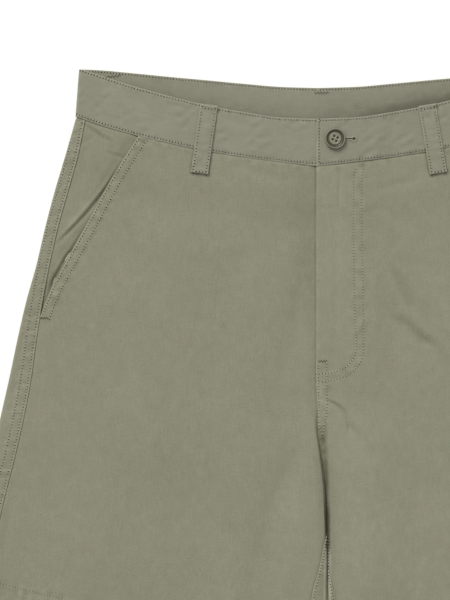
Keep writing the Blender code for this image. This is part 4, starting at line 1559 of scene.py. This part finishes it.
# Each group of rows: its lines, and how wide its needle's holes and its thread are, as shares.
StitchRow = namedtuple("StitchRow", "lines holes thread", defaults=(1.0, 1.0))
STITCHES = {
    "waistband": StitchRow(waistband_lines, 1.2),
    "fly": StitchRow(fly_lines, 0.8),
    "pockets": StitchRow(pocket_lines),
    "side_seams": StitchRow(side_lines),
    "inseams": StitchRow(leg_lines, 0.9),
    "hems": StitchRow(hem_lines, 0.62, 0.6),
    "seat": StitchRow(seat_lines),
    "belt_loops": StitchRow(loop_lines, 1.15),
}

# Bartacks, from end to end, with the needle's step and the pieces that they are sewn on.
BARTACKS = table("x0 y0 x1 y1 step pieces", [
    (-222.8, 47.2, -215.6, 47.2, 0.9, ["front_right_cloth", "back_right_cloth"]),
    (222.8, 47.2, 215.6, 47.2, 0.9, ["front_left_cloth", "back_left_cloth"]),
    (0.4, 12.6, 7.6, 12.6, 0.9, ["front_left_cloth"]),
    (-170.4, 240.0, -157.6, 241.6, 1.3, ["waistband_right_cloth"]),
    (170.4, 240.0, 157.6, 241.6, 1.3, ["waistband_left_cloth"]),
    (-2.8, 227.6, 9.1, 227.6, 1.3, ["waistband_right_cloth", "waistband_left_cloth"]),
])
BARTACK_HALF = 1.0


def searches(names):
    """One search tree for each named piece."""
    missing = [name for name in names if name not in bpy.data.objects]
    if missing:
        raise RuntimeError(f"build {', '.join(missing)} first")
    depsgraph = bpy.context.evaluated_depsgraph_get()
    return [BVHTree.FromObject(bpy.data.objects[name], depsgraph) for name in names]


def seen(trees, point, face):
    """The height of the first face met from above or below a point, and how level it is."""
    start = Vector((point[0], point[1], point[2] + face * RAY_START)) * MM
    hits = [tree.ray_cast(start, Vector((0, 0, -face))) for tree in trees]
    hits = [(face * hit.z / MM, abs(normal.z)) for hit, normal, _, _ in hits if hit is not None]
    z, level = max(hits, default=(0.0, 0.0))
    return face * z, level


def laid(line, above):
    """The stretches of a line that lie on the faces that show, a little above them."""
    trees = searches(line.pieces)
    stretches = [[]]
    for point in line.points:
        z, level = seen(trees, point, line.face)
        if level < STEEP or abs(z - point[2]) > SNAP:
            stretches.append([])
        else:
            stretches[-1].append((point[0], point[1], z + line.face * above))
    return [np.array(stretch) for stretch in stretches if len(stretch) > 3]


def bartack_chain(tack):
    """The needle's way to and fro across a bartack, laid on the pieces that it is sewn on."""
    start, length, along, across = axes(tack[:2], tack[2:4])
    count = int(length / tack.step)
    offs = np.array([BARTACK_HALF * (-1) ** i for i in range(count + 1)])
    flat = start + along * np.linspace(0, length, count + 1)[:, None] + across * offs[:, None]
    fine = [flat[:-1] + (flat[1:] - flat[:-1]) * share for share in (0.0, 0.34, 0.67)]
    trees = searches(tack.pieces)
    chain = []
    for x, y in np.concatenate(fine, axis=1).reshape(-1, 2):
        z, level = seen(trees, (x, y, OVER_ALL), 1)
        if level > 0:
            chain.append((x, y, z + TACK_ABOVE))
    return np.array(chain)


def keyhole(offset, count=40):
    """The outline of the buttonhole, moved out by an offset."""
    half = SLIT_HALF_WIDTH + offset
    radius = EYE_RADIUS + offset
    open_angle = math.asin(min(0.95, half / radius))
    angles = np.linspace(math.pi - open_angle, open_angle - math.pi, count)
    eye = [(EYE_X + radius * math.cos(a), BUTTON_Y + radius * math.sin(a)) for a in angles]
    neck = EYE_X - radius * math.cos(open_angle)
    slit = np.linspace(neck, SLIT_START_X - offset * 0.5, int(count / 2))[1:]
    below = [(x, BUTTON_Y - half) for x in slit]
    return eye + below + [(x, BUTTON_Y + half) for x in slit[::-1]]


def purl():
    """The stitches round the buttonhole, to and fro between its edge and a line outside it."""
    edge, outside = (np.array(keyhole(offset, 70)) for offset in (0.05, 1.2))
    return stacked(edge, (edge + outside) / 2, outside).transpose(0, 2, 1).reshape(-1, 2)


def chains_object(name, chains):
    """An object of edges, one chain after another."""
    verts, edges = [], []
    for chain in chains:
        edges += [(len(verts) + i, len(verts) + i + 1) for i in range(len(chain) - 1)]
        verts += [tuple(point * MM) for point in np.asarray(chain, float)]
    mesh = bpy.data.meshes.new(name)
    mesh.from_pydata(verts, edges, [])
    return linked(name, mesh)


# Node trees.

STITCH_TREE = "Stitches along a line"
THREAD_TREE = "Thread along a line"


def fill(tree, node, inputs):
    """Sets inputs, by name or number, to values or to other nodes' outputs."""
    for key, value in dict(inputs).items():
        if isinstance(value, bpy.types.NodeSocket):
            tree.links.new(value, node.inputs[key])
        else:
            node.inputs[key].default_value = value
    return node


def add(tree, kind, inputs=(), **settings):
    """Adds a node with its settings and its inputs."""
    node = tree.nodes.new(kind)
    for name, value in settings.items():
        setattr(node, name, value)
    return fill(tree, node, inputs)


def calculated(tree, operation, *values):
    """The result of one sum."""
    return add(tree, "ShaderNodeMath", dict(enumerate(values)), operation=operation).outputs[0]


def geometry_tree(name, sizes):
    """An empty Geometry Nodes tree with named inputs, and its input and output nodes."""
    tree = bpy.data.node_groups.new(name, "GeometryNodeTree")
    tree.interface.new_socket("Geometry", in_out="OUTPUT", socket_type="NodeSocketGeometry")
    tree.interface.new_socket("Geometry", in_out="INPUT", socket_type="NodeSocketGeometry")
    for label in sizes:
        tree.interface.new_socket(label, in_out="INPUT", socket_type="NodeSocketFloat")
    tree.interface.new_socket("Material", in_out="INPUT", socket_type="NodeSocketMaterial")
    return tree, add(tree, "NodeGroupInput").outputs, add(tree, "NodeGroupOutput").inputs


def end_tree(tree, geometry, given, out):
    """Real geometry, smooth, with its material."""
    real = add(tree, "GeometryNodeRealizeInstances", {0: geometry}).outputs[0]
    smooth = add(tree, "GeometryNodeSetShadeSmooth", {"Geometry": real}).outputs[0]
    inputs = {"Geometry": smooth, "Material": given["Material"]}
    tree.links.new(add(tree, "GeometryNodeSetMaterial", inputs).outputs[0], out[0])
    return tree


def marked(tree, geometry, name, value):
    """Geometry whose points carry a value."""
    inputs = {"Geometry": geometry, "Name": name, "Value": value}
    settings = {"data_type": "FLOAT", "domain": "POINT"}
    return add(tree, "GeometryNodeStoreNamedAttribute", inputs, **settings).outputs[0]


def bead(tree, given, names, shares, is_hole):
    """A ball as large as some of the tree's inputs say: a stitch's thread, or a dark one at its
    needle's hole, which paints the shade in the hole.
    """
    ball = {"Segments": 6, "Rings": 4 if is_hole else 5, "Radius": 0.5}
    ball = add(tree, "GeometryNodeMeshUVSphere", ball).outputs["Mesh"]
    sizes = [calculated(tree, "MULTIPLY", given[name], share) for name, share in zip(names, shares)]
    size = add(tree, "ShaderNodeCombineXYZ", dict(enumerate(sizes))).outputs[0]
    shift = calculated(tree, "MULTIPLY", given["Pitch"], 0.5 * is_hole)
    move = add(tree, "ShaderNodeCombineXYZ", {0: shift}).outputs[0]
    inputs = {"Geometry": ball, "Translation": move, "Scale": size}
    shape = add(tree, "GeometryNodeTransform", inputs).outputs[0]
    return marked(tree, shape, "hole", is_hole)


def random_vector(tree, low, high, seed):
    inputs = {0: low, 1: high, "Seed": seed}
    return add(tree, "FunctionNodeRandomValue", inputs, data_type="FLOAT_VECTOR").outputs[0]


def stitch_tree():
    """A row of stitches along each chain: a short bead of thread, then a dark bead of painted shade
    at its needle's hole.
    """
    sizes = ("Pitch", "Length", "Width", "Height", "Hole")
    tree, given, out = geometry_tree(STITCH_TREE, sizes)
    line = add(tree, "GeometryNodeMeshToCurve", {"Mesh": given["Geometry"]}).outputs[0]
    inputs = {"Curve": line, "Length": given["Pitch"]}
    points = add(tree, "GeometryNodeCurveToPoints", inputs, mode="LENGTH").outputs
    tone = add(tree, "FunctionNodeRandomValue", {"Seed": 7}, data_type="FLOAT").outputs[1]
    stitch = add(tree, "GeometryNodeJoinGeometry")
    for part in (
        bead(tree, given, ("Length", "Width", "Height"), (1.0, 1.0, 1.0), 0.0),
        bead(tree, given, ("Hole", "Hole", "Height"), (1.0, 0.85, 0.6), 1.0),
    ):
        tree.links.new(part, stitch.inputs[0])
    align = "FunctionNodeAlignRotationToVector"
    along = add(tree, align, {"Vector": points["Tangent"]}, axis="X").outputs[0]
    inputs = {"Rotation": along, "Vector": (0.0, 0.0, 1.0)}
    upright = add(tree, align, inputs, axis="Z", pivot_axis="X").outputs[0]
    sway = random_vector(tree, (0.0, 0.0, -0.10), (0.0, 0.0, 0.10), 11)
    sway = add(tree, "FunctionNodeEulerToRotation", {0: sway}).outputs[0]
    inputs = {"Rotation": upright, "Rotate By": sway}
    facing = add(tree, "FunctionNodeRotateRotation", inputs, rotation_space="LOCAL").outputs[0]
    inputs = {
        "Points": marked(tree, points["Points"], "tone", tone), "Instance": stitch.outputs[0],
        "Rotation": facing, "Scale": random_vector(tree, (0.9, 0.85, 0.85), (1.08, 1.15, 1.15), 13),
    }
    rows = add(tree, "GeometryNodeInstanceOnPoints", inputs)
    return end_tree(tree, rows.outputs[0], given, out)


def thread_tree():
    """A round thread along each chain."""
    tree, given, out = geometry_tree(THREAD_TREE, ("Radius",))
    line = add(tree, "GeometryNodeMeshToCurve", {"Mesh": given["Geometry"]}).outputs[0]
    inputs = {"Resolution": 6, "Radius": given["Radius"]}
    ring = add(tree, "GeometryNodeCurvePrimitiveCircle", inputs).outputs[0]
    inputs = {"Curve": line, "Profile Curve": ring, "Fill Caps": True}
    return end_tree(tree, add(tree, "GeometryNodeCurveToMesh", inputs).outputs[0], given, out)


def grown(name, chains, tree_name, finish, slot, **sizes):
    """Runs a tree along some chains and keeps the result as a plain piece."""
    make = {STITCH_TREE: stitch_tree, THREAD_TREE: thread_tree}[tree_name]
    tree = bpy.data.node_groups.get(tree_name) or make()
    obj = chains_object(name, chains)
    modifier = obj.modifiers.new("Grow", "NODES")
    modifier.node_group = tree
    values = {label.title(): value for label, value in sizes.items()} | {"Material": finish}
    for socket in tree.interface.items_tree:
        if socket.in_out == "INPUT" and socket.name in values:
            modifier[socket.identifier] = values[socket.name]
    return enrol(baked(obj), slot)


# Materials. Colours are sRGB hex values. Patterns lie on cut_mm, each point's place on the flat
# cloth, whose third value is the piece's lot and moves the patterns from piece to piece.

LOT_SCALE = 0.37
TWILL = "Washed cotton twill"
THREAD = "Spun polyester thread"
# The bartacks' and the button's thread is painted darker, as shade among dense stitches.
SHADED_THREAD = "Spun polyester thread, dark"


def linear(colour):
    """An sRGB hex value as linear red, green and blue."""
    values = [int(colour[i : i + 2], 16) / 255 for i in (0, 2, 4)]
    return tuple(v / 12.92 if v <= 0.04045 else ((v + 0.055) / 1.055) ** 2.4 for v in values)


def blank_material(name):
    """A material of that name, its tree, and its shader."""
    material = bpy.data.materials.new(name)
    material.use_nodes = True
    return material, material.node_tree, material.node_tree.nodes["Principled BSDF"]


def weighted(tree, start, *parts):
    """A sum of outputs, each times its weight."""
    total = start
    for output, weight in parts:
        total = calculated(tree, "MULTIPLY_ADD", output, weight, total)
    return total


def blended(tree, share, *ends):
    """A mix of two colours, each of them an output or red, green and blue."""
    colours = [end if isinstance(end, bpy.types.NodeSocket) else (*end, 1) for end in ends]
    inputs = {"Factor": share, "A": colours[0], "B": colours[1]}
    return add(tree, "ShaderNodeMix", inputs, data_type="RGBA").outputs[2]


def ramped(tree, value, low, high, at_low=0.0, at_high=1.0):
    """A value turned from one range into another."""
    limits = {"From Min": low, "From Max": high, "To Min": at_low, "To Max": at_high}
    return add(tree, "ShaderNodeMapRange", {"Value": value, **limits}).outputs[0]


def attribute(tree, name, output="Fac"):
    return add(tree, "ShaderNodeAttribute", attribute_name=name).outputs[output]


def pattern(tree, cut, size, detail=2.0):
    """Noise whose grains measure size millimetres across and along the cloth."""
    scale = (1 / size[0], 1 / size[1], LOT_SCALE)
    placed = add(tree, "ShaderNodeMapping", {"Vector": cut, "Scale": scale}).outputs[0]
    inputs = {"Vector": placed, "Scale": 1.0, "Detail": detail, "Roughness": 0.5}
    return add(tree, "ShaderNodeTexNoise", inputs).outputs[0]


def twill_material(sizes):
    """Garment-washed cotton twill. Its warp shows as fine uneven streaks down each piece, the
    weft as fainter ones across, and the wash rubs seams light and leaves their grooves dark.
    The same attribute also brings painted light and painted shade into its colour."""
    material, tree, shader = blank_material(TWILL)
    cut, wear = attribute(tree, "cut_mm", "Vector"), attribute(tree, "wear")
    # The real yarns are about 0.35 mm apart, finer than a pixel. The grains are those of the
    # slubs and the unevenly dyed fibres that can be made out.
    warp = pattern(tree, cut, (0.95, 9.0))
    weft = pattern(tree, cut, (9.0, 0.95))
    fibres = pattern(tree, cut, (1.0, 1.0), 1.0)
    patches = pattern(tree, cut, (7.0, 9.0), 3.0)
    cloud = pattern(tree, cut, (45.0, 55.0))
    tone = weighted(
        tree, -0.085, (warp, 0.24), (weft, 0.12), (fibres, 0.38), (patches, 0.21), (cloud, 0.17),
        (wear, 0.34),
    )
    colour = blended(tree, tone, sizes.twill_dark, sizes.twill_light)
    # The dye took unevenly, in patches of about 6 and 20 mm that lean to brown or to green.
    for tint, size in ((sizes.twill_warm, (5.0, 7.0)), (sizes.twill_cool, (18.0, 22.0))):
        taken = weighted(tree, -0.48, (pattern(tree, cut, size), 1.15))
        colour = blended(tree, taken, colour, tint)
    # The waistband and the belt loops, whose lots are the high ones, are drawn a little greyer.
    lot = add(tree, "ShaderNodeSeparateXYZ", {"Vector": cut}).outputs[2]
    is_band = calculated(tree, "GREATER_THAN", calculated(tree, "ABSOLUTE", lot), BAND_LOT - 10)
    colour = blended(tree, weighted(tree, 0.0, (is_band, 0.2)), colour, sizes.twill_grey)
    # Where two layers lie tight in a fold, the dye is still dark.
    # Painted shade: where the attribute falls below -1, down in a fold, the colour darkens on to
    # the painted fold shade.
    fold_shade_share = weighted(tree, -1.0, (wear, -1.0))
    colour = blended(tree, fold_shade_share, colour, sizes.twill_fold_shade)
    # Twill lines really lie 0.5 mm apart. They are drawn at 1.1 mm, the least that shows.
    lines = add(tree, "ShaderNodeMapping", {"Vector": cut, "Rotation": (0, 0, math.radians(28))})
    wave = {"Vector": lines.outputs[0], "Scale": 0.29, "Distortion": 1.6, "Detail Scale": 1.2}
    ribs = add(tree, "ShaderNodeTexWave", wave).outputs[1]
    # The wash leaves short sharp wrinkles, some 8 mm long and 1 mm wide, here and there.
    bent = weighted(tree, -0.5, (pattern(tree, cut, (11.0, 11.0), 2.5), 1.0))
    ridge = ramped(tree, calculated(tree, "ABSOLUTE", bent), 0.0, 0.035, 1.0, 0.0)
    spots = ramped(tree, pattern(tree, cut, (13.0, 13.0), 1.0), 0.52, 0.66)
    wrinkles = calculated(tree, "MULTIPLY", ridge, spots)
    height = weighted(
        tree, 0.0, (ribs, 0.08), (warp, 0.15), (fibres, 0.25), (patches, 0.54), (wrinkles, 0.35)
    )
    bump = {"Height": height, "Strength": 0.5, "Distance": 0.6 * MM}
    fill(tree, shader, {
        "Base Color": colour, "Normal": add(tree, "ShaderNodeBump", bump).outputs[0],
        "Roughness": 0.88, "Specular IOR Level": 0.22, "Sheen Weight": 0.10, "Sheen Roughness": 0.5,
    })
    return material


def plain_weave_material(name, dark, light, thread):
    """Plain woven cloth, such as cotton pocketing or polyester tape: matt, with a faint grid."""
    material, tree, shader = blank_material(name)
    cut = attribute(tree, "cut_mm", "Vector")
    streaks = ((thread, thread * 14), (thread * 14, thread))
    warp, weft = (pattern(tree, cut, size) for size in streaks)
    tone = weighted(tree, -0.25, (warp, 0.75), (weft, 0.75))
    fill(tree, shader, {"Base Color": blended(tree, tone, dark, light), "Roughness": 0.8})
    return material


def thread_material(name, dark, light, hole_shade_colour):
    """Spun polyester sewing thread: a soft shine, a little lighter than the cloth. The holes
    that the needle left at its ends are painted dark, as the shade in them."""
    material, tree, shader = blank_material(name)
    hole, tone = attribute(tree, "hole"), attribute(tree, "tone")
    where = add(tree, "ShaderNodeTexCoord").outputs["Object"]
    # The thread's twist is about 0.3 mm long. Its grain is drawn at 0.5 mm.
    twist = add(tree, "ShaderNodeTexNoise", {"Vector": where, "Scale": 1000 / 0.5, "Detail": 1.0})
    share = weighted(tree, 0.0, (tone, 0.6), (twist.outputs[0], 0.5))
    colour = blended(tree, hole, blended(tree, share, dark, light), hole_shade_colour)
    fill(tree, shader, {"Base Color": colour, "Roughness": 0.6, "Specular IOR Level": 0.3})
    return material


def button_material(sizes):
    """Cast polyester button, turned and tumbled: a soft gloss over a cloudy, horn-like mottle,
    with painted shade in its groove and a painted highlight on its rim."""
    material, tree, shader = blank_material("Cast polyester button")
    where = add(tree, "ShaderNodeTexCoord").outputs["Object"]
    middle = (-BUTTON_X * MM, -BUTTON_Y * MM, -BUTTON_Z * MM)
    centred = add(tree, "ShaderNodeMapping", {"Vector": where, "Location": middle}).outputs[0]
    flat = add(tree, "ShaderNodeVectorMath", {0: centred, 1: (1, 1, 0)}, operation="MULTIPLY")
    reach = add(tree, "ShaderNodeVectorMath", {0: flat.outputs[0]}, operation="LENGTH")
    share = weighted(tree, 0.0, (reach.outputs["Value"], 1 / sizes.radius))
    rings = add(tree, "ShaderNodeValToRGB", {"Fac": share})
    while len(rings.color_ramp.elements) < len(BUTTON_LIGHT_RINGS):
        rings.color_ramp.elements.new(0.5)
    for element, (position, value) in zip(rings.color_ramp.elements, BUTTON_LIGHT_RINGS):
        element.position, element.color = position, (value, value, value, 1)
    # The cloudy streaks of the casting are about 3 mm wide.
    streaks = {"Vector": where, "Scale": 1000 / 3.0, "Detail": 3.0, "Distortion": 0.8}
    cloud = add(tree, "ShaderNodeTexNoise", streaks).outputs[0]
    tone = weighted(tree, -0.15, (rings.outputs[0], 1.0), (cloud, 0.3))
    colour = blended(tree, tone, sizes.plastic_dark, sizes.plastic_light)
    fill(tree, shader, {"Base Color": colour, "Roughness": 0.32, "IOR": 1.54})
    return material


def floor_material(sizes):
    """Pale studio card. It glows faintly, so that it comes out white in the picture."""
    material, tree, shader = blank_material("Pale studio card")
    fill(tree, shader, {
        "Base Color": (*sizes.floor_colour, 1), "Roughness": 0.9, "Specular IOR Level": 0.0,
        "Emission Color": (1, 1, 1, 1), "Emission Strength": sizes.floor_glow,
    })
    return material


def twill(settings):
    return bpy.data.materials.get(TWILL) or twill_material(settings.cloth)


def thread(settings, name=THREAD):
    """The thread of the rows, or the bartacks' one, painted darker as the shade among their dense
    stitches.
    """
    sizes = settings.stitches
    colours = (sizes.thread_dark, sizes.thread_light)
    if name == SHADED_THREAD:
        colours = (sizes.tack_dark, sizes.tack_light)
    return bpy.data.materials.get(name) or thread_material(name, *colours, sizes.hole_shade_colour)


# The stage, in metres. The camera looks straight down on the middle of the photo.
FLOOR_HALF = 4.0
KEY_DIRECTION = (-0.5, 1.0, 0.95)
KEY_DISTANCE = 9.0
KEY_SIZE = 5.0
CAMERA_X, CAMERA_Y = -0.0744, 0.0616
CAMERA_REACH = 50.0
# The lens and the width of its film, in millimetres.
LENS = 100.0
FILM = 36.0


# Settings.


def amount(name, description, default, **settings):
    return bpy.props.FloatProperty(
        name=name, description=description, default=default, min=0.0, **settings
    )


def measure(name, description, millimetres):
    return amount(name, description, millimetres * MM, unit="LENGTH", precision=4)


def shade(name, description, colour):
    return bpy.props.FloatVectorProperty(
        name=name, description=description, default=linear(colour), size=3, min=0.0, max=1.0,
        subtype="COLOR",
    )


def group(name, description, kind):
    return bpy.props.PointerProperty(name=name, description=description, type=kind)


class ClothSettings(bpy.types.PropertyGroup):
    """Sizes and colours of the cloth."""

    cloth_thickness: measure("Cloth", "Thickness of the twill", 0.7)
    band_thickness: measure("Waistband", "Thickness of the folded waistband", BAND_THICKNESS)
    pocketing_thickness: measure("Pocketing", "Thickness of the pocket bags", 0.6)
    tape_thickness: measure("Zip tape", "Thickness of the zip's tape", 0.6)
    loop_width: measure("Belt loop", "Width of a belt loop", LOOP_WIDTH)
    twill_dark: shade("Twill, dark", "The twill's darkest yarns", "6B6A55")
    twill_light: shade("Twill, light", "The twill's lightest yarns", "AAA994")
    twill_warm: shade("Twill, warm", "Patches that lean to brown", "928B77")
    twill_cool: shade("Twill, cool", "Patches that lean to green", "878B72")
    twill_grey: shade("Twill, grey", "What the waistband's dye leans to", "908E85")
    # Painted shade deep in a fold takes this colour.
    twill_fold_shade: shade("Twill, in folds", "Twill that the wash left dark in a fold", "45432F")
    pocketing_dark: shade("Pocketing, dark", "Shade of the pocketing", "B3B09D")
    pocketing_light: shade("Pocketing, light", "Light of the pocketing", "D2CFBC")
    tape_dark: shade("Tape, dark", "Shade of the zip's tape", "5D5C49")
    tape_light: shade("Tape, light", "Light of the zip's tape", "77765F")


class StitchSettings(bpy.types.PropertyGroup):
    """Sizes and colours of the stitches."""

    pitch: measure("Pitch", "From one stitch to the next", 2.4)
    length: measure("Length", "Length of the thread that shows", 1.7)
    width: measure("Width", "Width of a stitch", 0.62)
    height: measure("Height", "Height of a stitch", 0.5)
    hole: measure("Hole", "Width of the needle's hole", 1.15)
    tack_radius: measure("Tack", "Radius of a bartack's thread", 0.26)
    purl_radius: measure("Purl", "Radius of the buttonhole's thread", 0.24)
    thread_dark: shade("Thread, dark", "Shade of the thread", "9C9B85")
    thread_light: shade("Thread, light", "Light of the thread", "C6C5AF")
    # The needle's holes are painted dark, as the shade in them.
    hole_shade_colour: shade("Holes", "Colour of the needle's holes", "36352A")
    # The bartacks' thread is painted darker, as shade.
    tack_dark: shade("Bartacks, dark", "Shade of the bartacks' thread", "4E4D3A")
    tack_light: shade("Bartacks, light", "Light of the bartacks' thread", "7E7D64")


class ButtonSettings(bpy.types.PropertyGroup):
    """Sizes and colours of the button."""

    radius: measure("Radius", "Radius of the button", 8.2)
    thickness: measure("Thickness", "Thickness of the button", 3.0)
    hole_radius: measure("Hole", "Radius of one of its four holes", 0.85)
    hole_circle: measure("Circle", "Radius of the circle that the holes lie on", 2.1)
    plastic_dark: shade("Plastic, dark", "Shade of the button", "4A4733")
    plastic_light: shade("Plastic, light", "Light of the button", "8F8C76")


class StageSettings(bpy.types.PropertyGroup):
    """The floor, the light and the camera."""

    floor_colour: shade("Floor", "Colour of the floor", "F4F4F2")
    floor_glow: amount("Glow", "Light that the floor gives off", 0.2)
    key_power: amount("Key light", "Power of the main light", 590.0, unit="POWER")
    sky: amount("Sky", "Strength of the light from all round", 0.5)
    camera_height: measure("Camera", "Height of the camera over the floor", 1339.0)


class ShortsSettings(bpy.types.PropertyGroup):
    """All the settings of the shorts."""

    cloth: group("Cloth", "Sizes and colours of the cloth", ClothSettings)
    stitches: group("Stitches", "Sizes and colours of the stitches", StitchSettings)
    button: group("Button", "Sizes and colours of the button", ButtonSettings)
    stage: group("Stage", "Floor, light and camera", StageSettings)


# Operators.


class FrontsOperator(bpy.types.Operator):
    """Builds the two front panels, with their slanted edges, fly, crotch and hems"""

    bl_idname = "shorts.fronts"
    bl_label = "Fronts"

    def execute(self, context):
        for side in SIDES:
            front_panel(side, context.scene.chino_shorts)
        return {"FINISHED"}


class BacksOperator(bpy.types.Operator):
    """Builds the two back panels, which come round the sides onto the front"""

    bl_idname = "shorts.backs"
    bl_label = "Backs"

    def execute(self, context):
        for side in SIDES:
            back_panel(side, context.scene.chino_shorts)
        return {"FINISHED"}


class WaistbandOperator(bpy.types.Operator):
    """Builds the waistband's two halves and cuts the buttonhole"""

    bl_idname = "shorts.waistband"
    bl_label = "Waistband"

    def execute(self, context):
        settings = context.scene.chino_shorts
        _, left = [waistband(side, settings) for side in SIDES]
        low = BAND_FRONT_Z + OVERLAP_RISE - 2.0
        carve(left, [prism("cutter", keyhole(0.0), low, low + 6.0, twill(settings))])
        return {"FINISHED"}


class LoopsOperator(bpy.types.Operator):
    """Builds the five belt loops"""

    bl_idname = "shorts.belt_loops"
    bl_label = "Belt loops"

    def execute(self, context):
        for loop in LOOPS:
            belt_loop(loop, context.scene.chino_shorts)
        return {"FINISHED"}


class PocketsOperator(bpy.types.Operator):
    """Builds the pocket facings and bags"""

    bl_idname = "shorts.pockets"
    bl_label = "Pockets"

    def execute(self, context):
        settings = context.scene.chino_shorts
        cloth = settings.cloth
        # Cotton pocketing has about 30 threads to the centimetre. They are drawn at 0.7 mm.
        pocketing = plain_weave_material(
            "Plain cotton pocketing", cloth.pocketing_dark, cloth.pocketing_light, 0.7
        )
        for side in SIDES:
            pocket_facing(side, cloth, twill(settings))
            pocket_bag(side, cloth, pocketing)
        return {"FINISHED"}


class FlyOperator(bpy.types.Operator):
    """Builds the fly's under flap and the closed zip"""

    bl_idname = "shorts.fly"
    bl_label = "Fly"

    def execute(self, context):
        settings = context.scene.chino_shorts
        # The tape's herringbone is about 1 mm wide.
        tape = plain_weave_material(
            "Polyester zip tape", settings.cloth.tape_dark, settings.cloth.tape_light, 1.0
        )
        fly_pieces(settings.cloth, twill(settings), tape)
        y = np.linspace(160.0, 20.0, 100)
        z = FACING_Z + 0.3 + waist_rise(below_waist(0.0, y))
        teeth = stacked(ZIP_X + ZIP_WIDTH / 2, y, z)
        # A nylon coil has a tooth every 1.2 mm.
        grown(
            "fly_zip_teeth", [teeth], STITCH_TREE, thread(settings), "zip_tape", pitch=1.2 * MM,
            length=0.8 * MM, width=4.0 * MM, height=0.9 * MM, hole=0.3 * MM,
        )
        return {"FINISHED"}


class ButtonOperator(bpy.types.Operator):
    """Builds the button, the thread that holds it and the edge of its buttonhole"""

    bl_idname = "shorts.button"
    bl_label = "Button"

    def execute(self, context):
        settings = context.scene.chino_shorts
        sizes, lower_thread = settings.button, thread(settings)
        button(sizes, button_material(sizes))
        profile = shank_profile(SHANK_BOTTOM, BUTTON_Z + 0.1)
        stem = turned("button_stem", profile, (BUTTON_X, BUTTON_Y, 0), lower_thread, 24)
        enrol(stem, "thread", "button_shank")
        upper_thread = thread(settings, SHADED_THREAD)
        strands = button_strands(sizes)
        grown("button_thread", strands, THREAD_TREE, upper_thread, "thread", radius=0.2 * MM)
        top = BAND_FRONT_Z + OVERLAP_RISE + settings.cloth.band_thickness / MM / 2
        edging = stacked(*purl().T, top)
        chains = laid(Line(edging, cloth_names("waistband", 1), 1), PURL_ABOVE)
        radius = settings.stitches.purl_radius
        grown("buttonhole_thread", chains, THREAD_TREE, lower_thread, "thread", radius=radius)
        return {"FINISHED"}


class StitchingOperator(bpy.types.Operator):
    """Sews the rows of stitches and the bartacks onto what has been built"""

    bl_idname = "shorts.stitching"
    bl_label = "Stitching"

    def execute(self, context):
        settings = context.scene.chino_shorts
        sizes = settings.stitches
        for name, row in STITCHES.items():
            chains = [chain for line in row.lines() for chain in laid(line, STITCH_ABOVE)]
            grown(
                "stitches_" + name, chains, STITCH_TREE, thread(settings), "thread",
                pitch=sizes.pitch, length=sizes.length, width=sizes.width * row.thread,
                height=sizes.height, hole=sizes.hole * row.holes,
            )
        grown(
            "bartacks", map(bartack_chain, BARTACKS), THREAD_TREE, thread(settings, SHADED_THREAD),
            "thread", radius=sizes.tack_radius,
        )
        return {"FINISHED"}


class StageOperator(bpy.types.Operator):
    """Sets up the floor, the soft light and the camera"""

    bl_idname = "shorts.stage"
    bl_label = "Stage"

    def execute(self, context):
        scene = context.scene
        sizes = scene.chino_shorts.stage
        mesh = bpy.data.meshes.new("floor")
        half = FLOOR_HALF
        corners = [(-half, -half, 0), (half, -half, 0), (half, half, 0), (-half, half, 0)]
        mesh.from_pydata(corners, [], [(0, 1, 2, 3)])
        linked("floor", mesh, floor_material(sizes))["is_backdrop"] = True

        scene.world = bpy.data.worlds.new("Soft studio")
        scene.world.use_nodes = True
        tree = scene.world.node_tree
        fill(tree, tree.nodes["Background"], {"Color": (1, 1, 1, 1), "Strength": sizes.sky})

        light = bpy.data.lights.new("key", "AREA")
        light.shape, light.size, light.energy = "DISK", KEY_SIZE, sizes.key_power
        key = linked("key", light)
        direction = Vector(KEY_DIRECTION).normalized()
        key.location = direction * KEY_DISTANCE
        key.rotation_euler = direction.to_track_quat("Z", "Y").to_euler()

        lens = bpy.data.cameras.new("camera")
        lens.lens, lens.sensor_width, lens.clip_end = LENS, FILM, CAMERA_REACH
        scene.camera = linked("camera", lens)
        scene.camera.location = (CAMERA_X, CAMERA_Y, sizes.camera_height)
        scene.view_settings.view_transform = "Standard"
        return {"FINISHED"}


OPERATORS = (
    FrontsOperator, BacksOperator, WaistbandOperator, LoopsOperator, PocketsOperator,
    FlyOperator, ButtonOperator, StitchingOperator, StageOperator,
)


class ShortsPanel(bpy.types.Panel):
    """Lists the settings and the steps of the shorts."""

    bl_idname = "VIEW3D_PT_chino_shorts"
    bl_label = "Chino shorts"
    bl_space_type = "VIEW_3D"
    bl_region_type = "UI"
    bl_category = "Shorts"

    def draw(self, context):
        settings = context.scene.chino_shorts
        for part in (settings.cloth, settings.stitches, settings.button, settings.stage):
            box = self.layout.box()
            for name in part.__annotations__:
                box.prop(part, name)
        for operator in OPERATORS:
            self.layout.operator(operator.bl_idname)


CLASSES = (
    ClothSettings, StitchSettings, ButtonSettings, StageSettings, ShortsSettings, *OPERATORS,
    ShortsPanel,
)


def register():
    for cls in CLASSES:
        bpy.utils.register_class(cls)
    bpy.types.Scene.chino_shorts = group(
        "Chino shorts", "Settings of the chino shorts", ShortsSettings
    )


def unregister():
    del bpy.types.Scene.chino_shorts
    for cls in reversed(CLASSES):
        bpy.utils.unregister_class(cls)


def main():
    register()
    for operator in OPERATORS:
        family, name = operator.bl_idname.split(".")
        getattr(getattr(bpy.ops, family), name)()
    boxes = {"cad": CAD_BOUNDS, "visual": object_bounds()}
    {name: [list(corner) for corner in box] for name, box in boxes.items()}


if __name__ == "__main__":
    main()
